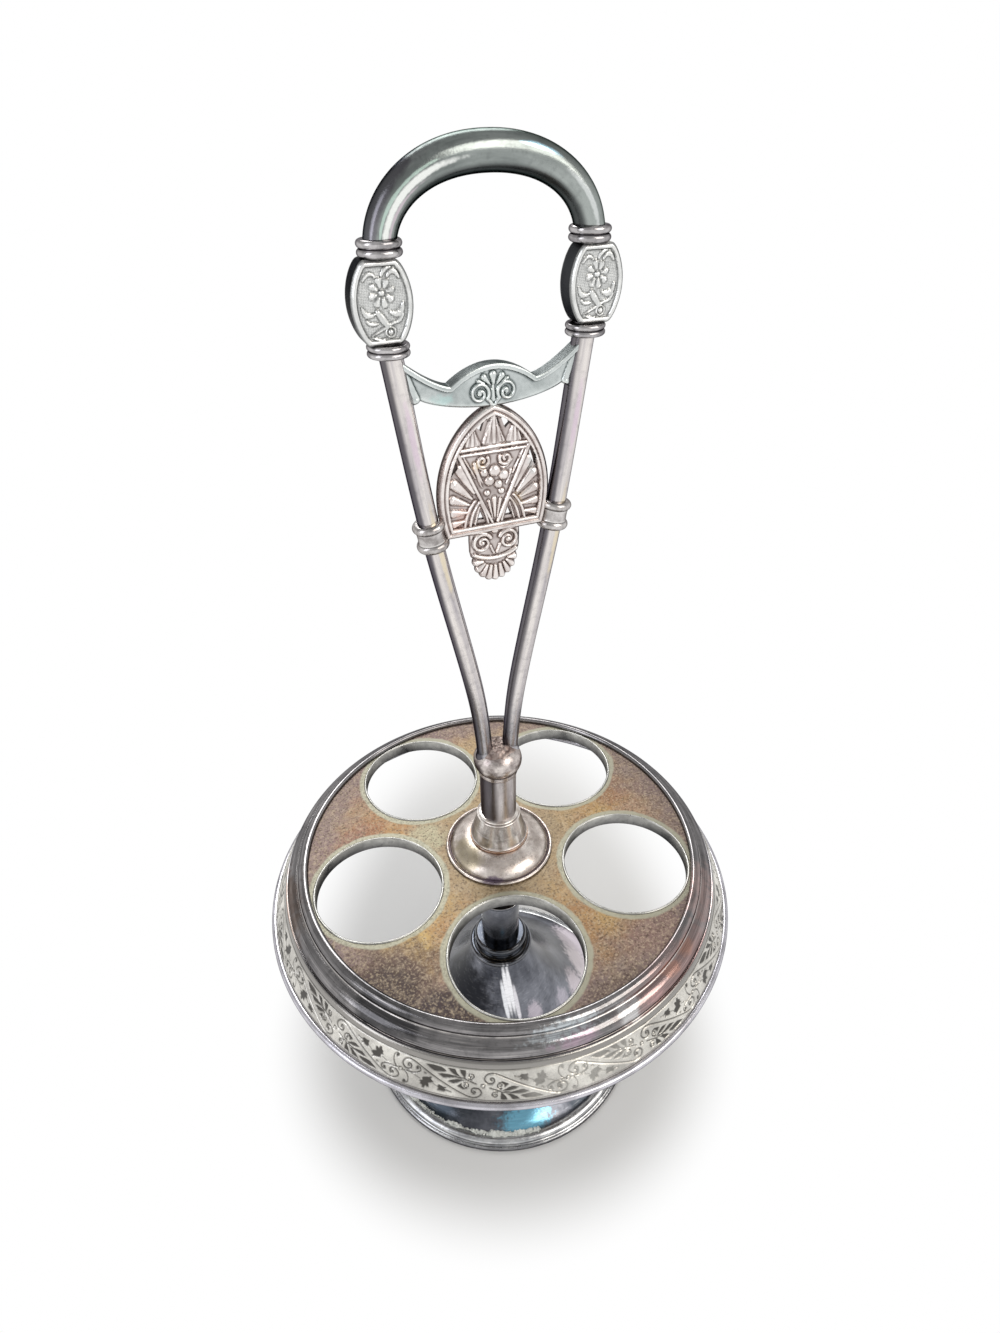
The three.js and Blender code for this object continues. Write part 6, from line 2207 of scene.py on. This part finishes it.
    def pendant(self) -> None:
        """Palmette under the plaque: two volutes with a bead over nine lobes."""
        top = box("plaque").top - 37.6
        level, eye, wide, tall, lobes = top - 10.6, top - 5.2, 7.7, 8.75, 9
        rim = []
        for share in np.linspace(0, 1, lobes * 8 + 1):
            angle = math.pi * (share - 1)
            dent = 1 - 0.07 * (1 - abs(math.sin(math.pi * lobes * share)))
            rim.append((wide * dent * math.cos(angle), level + tall * dent * math.sin(angle)))
        side = [(7.9, level + 0.8), (8.3, level + 2.6), (8.4, level + 6.4), (8.2, top)]
        outline = [*rim, *side, *[(-x, z) for x, z in side[::-1]]]
        strokes = [bead(0, top - 1.5, 1.15, 1.25)]
        for way in (1, -1):
            arm = [(way * x, top - z) for x, z in ((8.4, 0.9), (5.6, 1.2), (3.0, 2.2))]
            curl = volute((way * 4.3, eye), 3.1, -1.5 * way, 152 if way > 0 else 28, 40, 1.5)
            strokes += [Stroke(tuple(arm), 0.8, 0.6, 1.05), Stroke(tuple(curl), 0.75, 0.5, 1.1),
                        bead(way * 4.3, eye, 0.9, 1.2),
                        Stroke(((way * 1.6, eye - 1.4), (way * 0.5, eye - 4.0)), 0.5, 0.4, 0.7)]
        smile = bezier([(-7.0, level + 1.6), (0, level - 2.4), (7.0, level + 1.6)], 10)
        strokes.append(Stroke(tuple(smile), 0.7, 0.7, 0.95, 0.7))
        for k in range(lobes):
            angle = math.pi * ((k + 0.5) / lobes - 1)
            across, up = math.cos(angle), math.sin(angle)
            lobe = ((4.4 * across, level - 0.6 + 2.6 * up),
                    ((wide - 1.1) * across, level + (tall - 1.3) * up))
            strokes.append(Stroke(lobe, 0.5, 1.15, 1.0))

        def height(x: Array, z: Array) -> Array:
            """Half the thickness of the casting.

            Args:
                x: First coordinate of each place.
                z: Second coordinate of each place.

            Returns:
                The number for each place.
            """
            away, _ = trace([*outline, outline[0]], x, z)
            relief = relief_of(strokes, x, z) * smooth_step(away, 0.0, 0.35)
            return 0.35 + 0.4 * smooth_step(away, 0.0, 0.7) + relief

        plate = ReliefPlate("pendant_cast", outline, height, (), 0.24, 0.2, 1.7, ground=0.4)
        settle(plate.build(), Body.STAND, CAST, "cast_silver", "plaque")


def curve_through(points: Sequence[Point], steps: int) -> Array:
    """Smooth curve through a few points, its speed following the root of their distances.

    Args:
        points: What it passes through.
        steps: How many stretches it is cut into.

    Returns:
        steps + 1 rows.
    """
    known = [np.array(p, float) for p in points]
    known = [2 * known[0] - known[1], *known, 2 * known[-1] - known[-2]]
    knots = [0.0]
    for before, after in zip(known, known[1:]):
        knots.append(knots[-1] + float(np.linalg.norm(after - before)) ** 0.5)
    rows = []
    for share in np.linspace(knots[1], knots[-2], steps + 1):
        i = min(max(int(np.searchsorted(knots, share, "right")) - 1, 1), len(known) - 3)
        t0, t1, t2, t3 = knots[i - 1 : i + 3]
        p0, p1, p2, p3 = known[i - 1 : i + 3]
        a1 = (t1 - share) / (t1 - t0) * p0 + (share - t0) / (t1 - t0) * p1
        a2 = (t2 - share) / (t2 - t1) * p1 + (share - t1) / (t2 - t1) * p2
        a3 = (t3 - share) / (t3 - t2) * p2 + (share - t2) / (t3 - t2) * p3
        b1 = (t2 - share) / (t2 - t0) * a1 + (share - t0) / (t2 - t0) * a2
        b2 = (t3 - share) / (t3 - t1) * a2 + (share - t1) / (t3 - t1) * a3
        rows.append((t2 - share) / (t2 - t1) * b1 + (share - t1) / (t2 - t1) * b2)
    return np.array(rows)


# The studio


@dataclass
class Studio:
    """Pale floor, soft lamps and the camera of the photograph."""

    camera_at: Point3 = (-78.7, -204.9, 386.4)
    forward: Point3 = (0.2937, 0.7507, -0.5917)
    roll: float = 0.013
    focal_pixels: float = 775.62
    sensor: float = 36.0
    floor_colour: str = "#d6d6d5"
    room_radius: float = 2600.0
    shadow_mm: float = 72.0
    white_mm: float = 112.0
    across: Point3 = (0.85, -0.332, 0.0)
    towards: Point3 = (-0.364, -0.931, 0.0)
    behind_share: float = 0.45
    world_strength: float = 0.55

    def build(self) -> None:
        """Makes the camera, the floor, the lamps and the world."""
        bpy.context.scene.view_settings.view_transform = "Standard"
        self.camera()
        self.floor()
        self.lamps()
        self.world()

    def camera(self) -> None:
        """Camera where the photograph was taken from."""
        data = bpy.data.cameras.new("camera")
        data.sensor_fit = "AUTO"
        data.sensor_width = self.sensor
        data.lens = self.focal_pixels * self.sensor / max(PHOTO_SIZE)
        data.clip_start, data.clip_end = 0.01, 50
        obj = bpy.data.objects.new("camera", data)
        bpy.context.scene.collection.objects.link(obj)
        forward = Vector(self.forward).normalized()
        level = forward.cross(Vector((0, 0, 1))).normalized()
        down = forward.cross(level)
        right = level * math.cos(self.roll) + down * math.sin(self.roll)
        up = -(down * math.cos(self.roll) - level * math.sin(self.roll))
        turn = Matrix((right, up, -forward)).transposed().to_4x4()
        obj.matrix_world = Matrix.Translation(Vector(self.camera_at) * MM) @ turn
        bpy.context.scene.camera = obj

    def floor(self) -> None:
        """Round sheet of paper, far wider than the stand."""
        sides = 96
        places = [p for radius in (0.5, 100.0, 400.0, self.room_radius) for p in circle(radius, 0.0, sides)]
        obj = make_object("floor", np.array(places), skin(numbered(4, sides)), 180)
        obj.data.materials.append(self.paper())

    def paper(self) -> bpy.types.Material:
        """Seamless paper that keeps the shadow near the stand and fades to plain white further out.

        Returns:
            The material.
        """
        material = bpy.data.materials.new("seamless_paper")
        material.use_nodes = True
        tree = material.node_tree
        tree.nodes.clear()
        matt = add(tree, "ShaderNodeBsdfPrincipled",
                   {"Base Color": linear(self.floor_colour), "Roughness": 0.9, "Specular IOR Level": 0.1})
        white = add(tree, "ShaderNodeEmission", {"Color": (1, 1, 1, 1), "Strength": 1.0})
        where = add(tree, "ShaderNodeTexCoord").outputs["Object"]
        sideways = add(tree, "ShaderNodeVectorMath", {0: where, 1: self.across}, operation="DOT_PRODUCT")
        nearer = add(tree, "ShaderNodeVectorMath", {0: where, 1: self.towards}, operation="DOT_PRODUCT")
        behind = add(tree, "ShaderNodeMath", {0: nearer, 1: self.behind_share}, operation="MULTIPLY")
        nearer = add(tree, "ShaderNodeMath", {0: nearer, 1: behind}, operation="MAXIMUM")
        flat = add(tree, "ShaderNodeCombineXYZ", {"X": sideways, "Y": nearer})
        away = add(tree, "ShaderNodeVectorMath", {0: flat}, operation="LENGTH")
        far = add(tree, "ShaderNodeMapRange",
                  {"Value": away, "From Min": self.shadow_mm * MM, "From Max": self.white_mm * MM},
                  interpolation_type="SMOOTHSTEP")
        path = add(tree, "ShaderNodeLightPath").outputs
        seen = path["Is Camera Ray"]
        for ray in ("Is Glossy Ray", "Is Transmission Ray"):
            seen = add(tree, "ShaderNodeMath", {0: seen, 1: path[ray]}, operation="MAXIMUM")
        share = add(tree, "ShaderNodeMath", {0: far, 1: seen}, operation="MULTIPLY")
        mixed = add(tree, "ShaderNodeMixShader", {0: share, 1: matt, 2: white})
        add(tree, "ShaderNodeOutputMaterial", {"Surface": mixed})
        return material

    def lamps(self) -> None:
        """Large soft lamps: a key in front on the right, a fill on the left and one above the back."""
        for name, at, size, watts, colour in (
            ("key", (560, -820, 980), (900, 700), 7.0, "#fffaf3"),
            ("fill", (-1050, -250, 760), (420, 900), 3.0, "#f6f8ff"),
            ("back", (150, 820, 1150), (800, 450), 7.5, "#ffffff"),
        ):
            data = bpy.data.lights.new(name, "AREA")
            data.shape = "RECTANGLE"
            data.size, data.size_y = size[0] * MM, size[1] * MM
            data.energy = watts
            data.color = linear(colour)[:3]
            obj = bpy.data.objects.new(name, data)
            bpy.context.scene.collection.objects.link(obj)
            place = Vector(at) * MM
            aim = Vector((0, 0, 150)) * MM - place
            obj.matrix_world = Matrix.Translation(place) @ aim.to_track_quat("-Z", "Y").to_matrix().to_4x4()

    def world(self) -> None:
        """Even pale light from all round, behind a white backdrop near the horizon."""
        world = bpy.data.worlds.new("room")
        world.use_nodes = True
        bpy.context.scene.world = world
        tree = world.node_tree
        tree.nodes.clear()
        path = add(tree, "ShaderNodeLightPath").outputs
        seen = add(tree, "ShaderNodeMath", {0: path["Is Glossy Ray"], 1: path["Is Transmission Ray"]},
                   operation="MAXIMUM")
        direction = add(tree, "ShaderNodeTexCoord").outputs["Object"]
        rise = add(tree, "ShaderNodeSeparateXYZ", {0: direction}).outputs["Z"]
        backdrop = add(tree, "ShaderNodeMapRange",
                       {"Value": rise, "From Min": 0.12, "From Max": 0.5, "To Min": 1.0,
                        "To Max": self.world_strength}, interpolation_type="SMOOTHSTEP")
        strength = add(tree, "ShaderNodeMix", {0: seen, 2: self.world_strength, 3: backdrop},
                       data_type="FLOAT")
        white = add(tree, "ShaderNodeMath", {0: strength, 1: path["Is Camera Ray"]}, operation="MAXIMUM")
        light = add(tree, "ShaderNodeBackground", {"Color": (1, 1, 1, 1), "Strength": white})
        add(tree, "ShaderNodeOutputWorld", {"Surface": light})


def main() -> None:
    """Builds the stand and its studio."""
    logging.basicConfig(level=logging.INFO, format="%(message)s")
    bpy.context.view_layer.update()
    for part in (Studio(), Foot(), Tray(), Handle()):
        LOG.info("building %s", type(part).__name__)
        part.build()


if __name__ == "__main__":
    main()
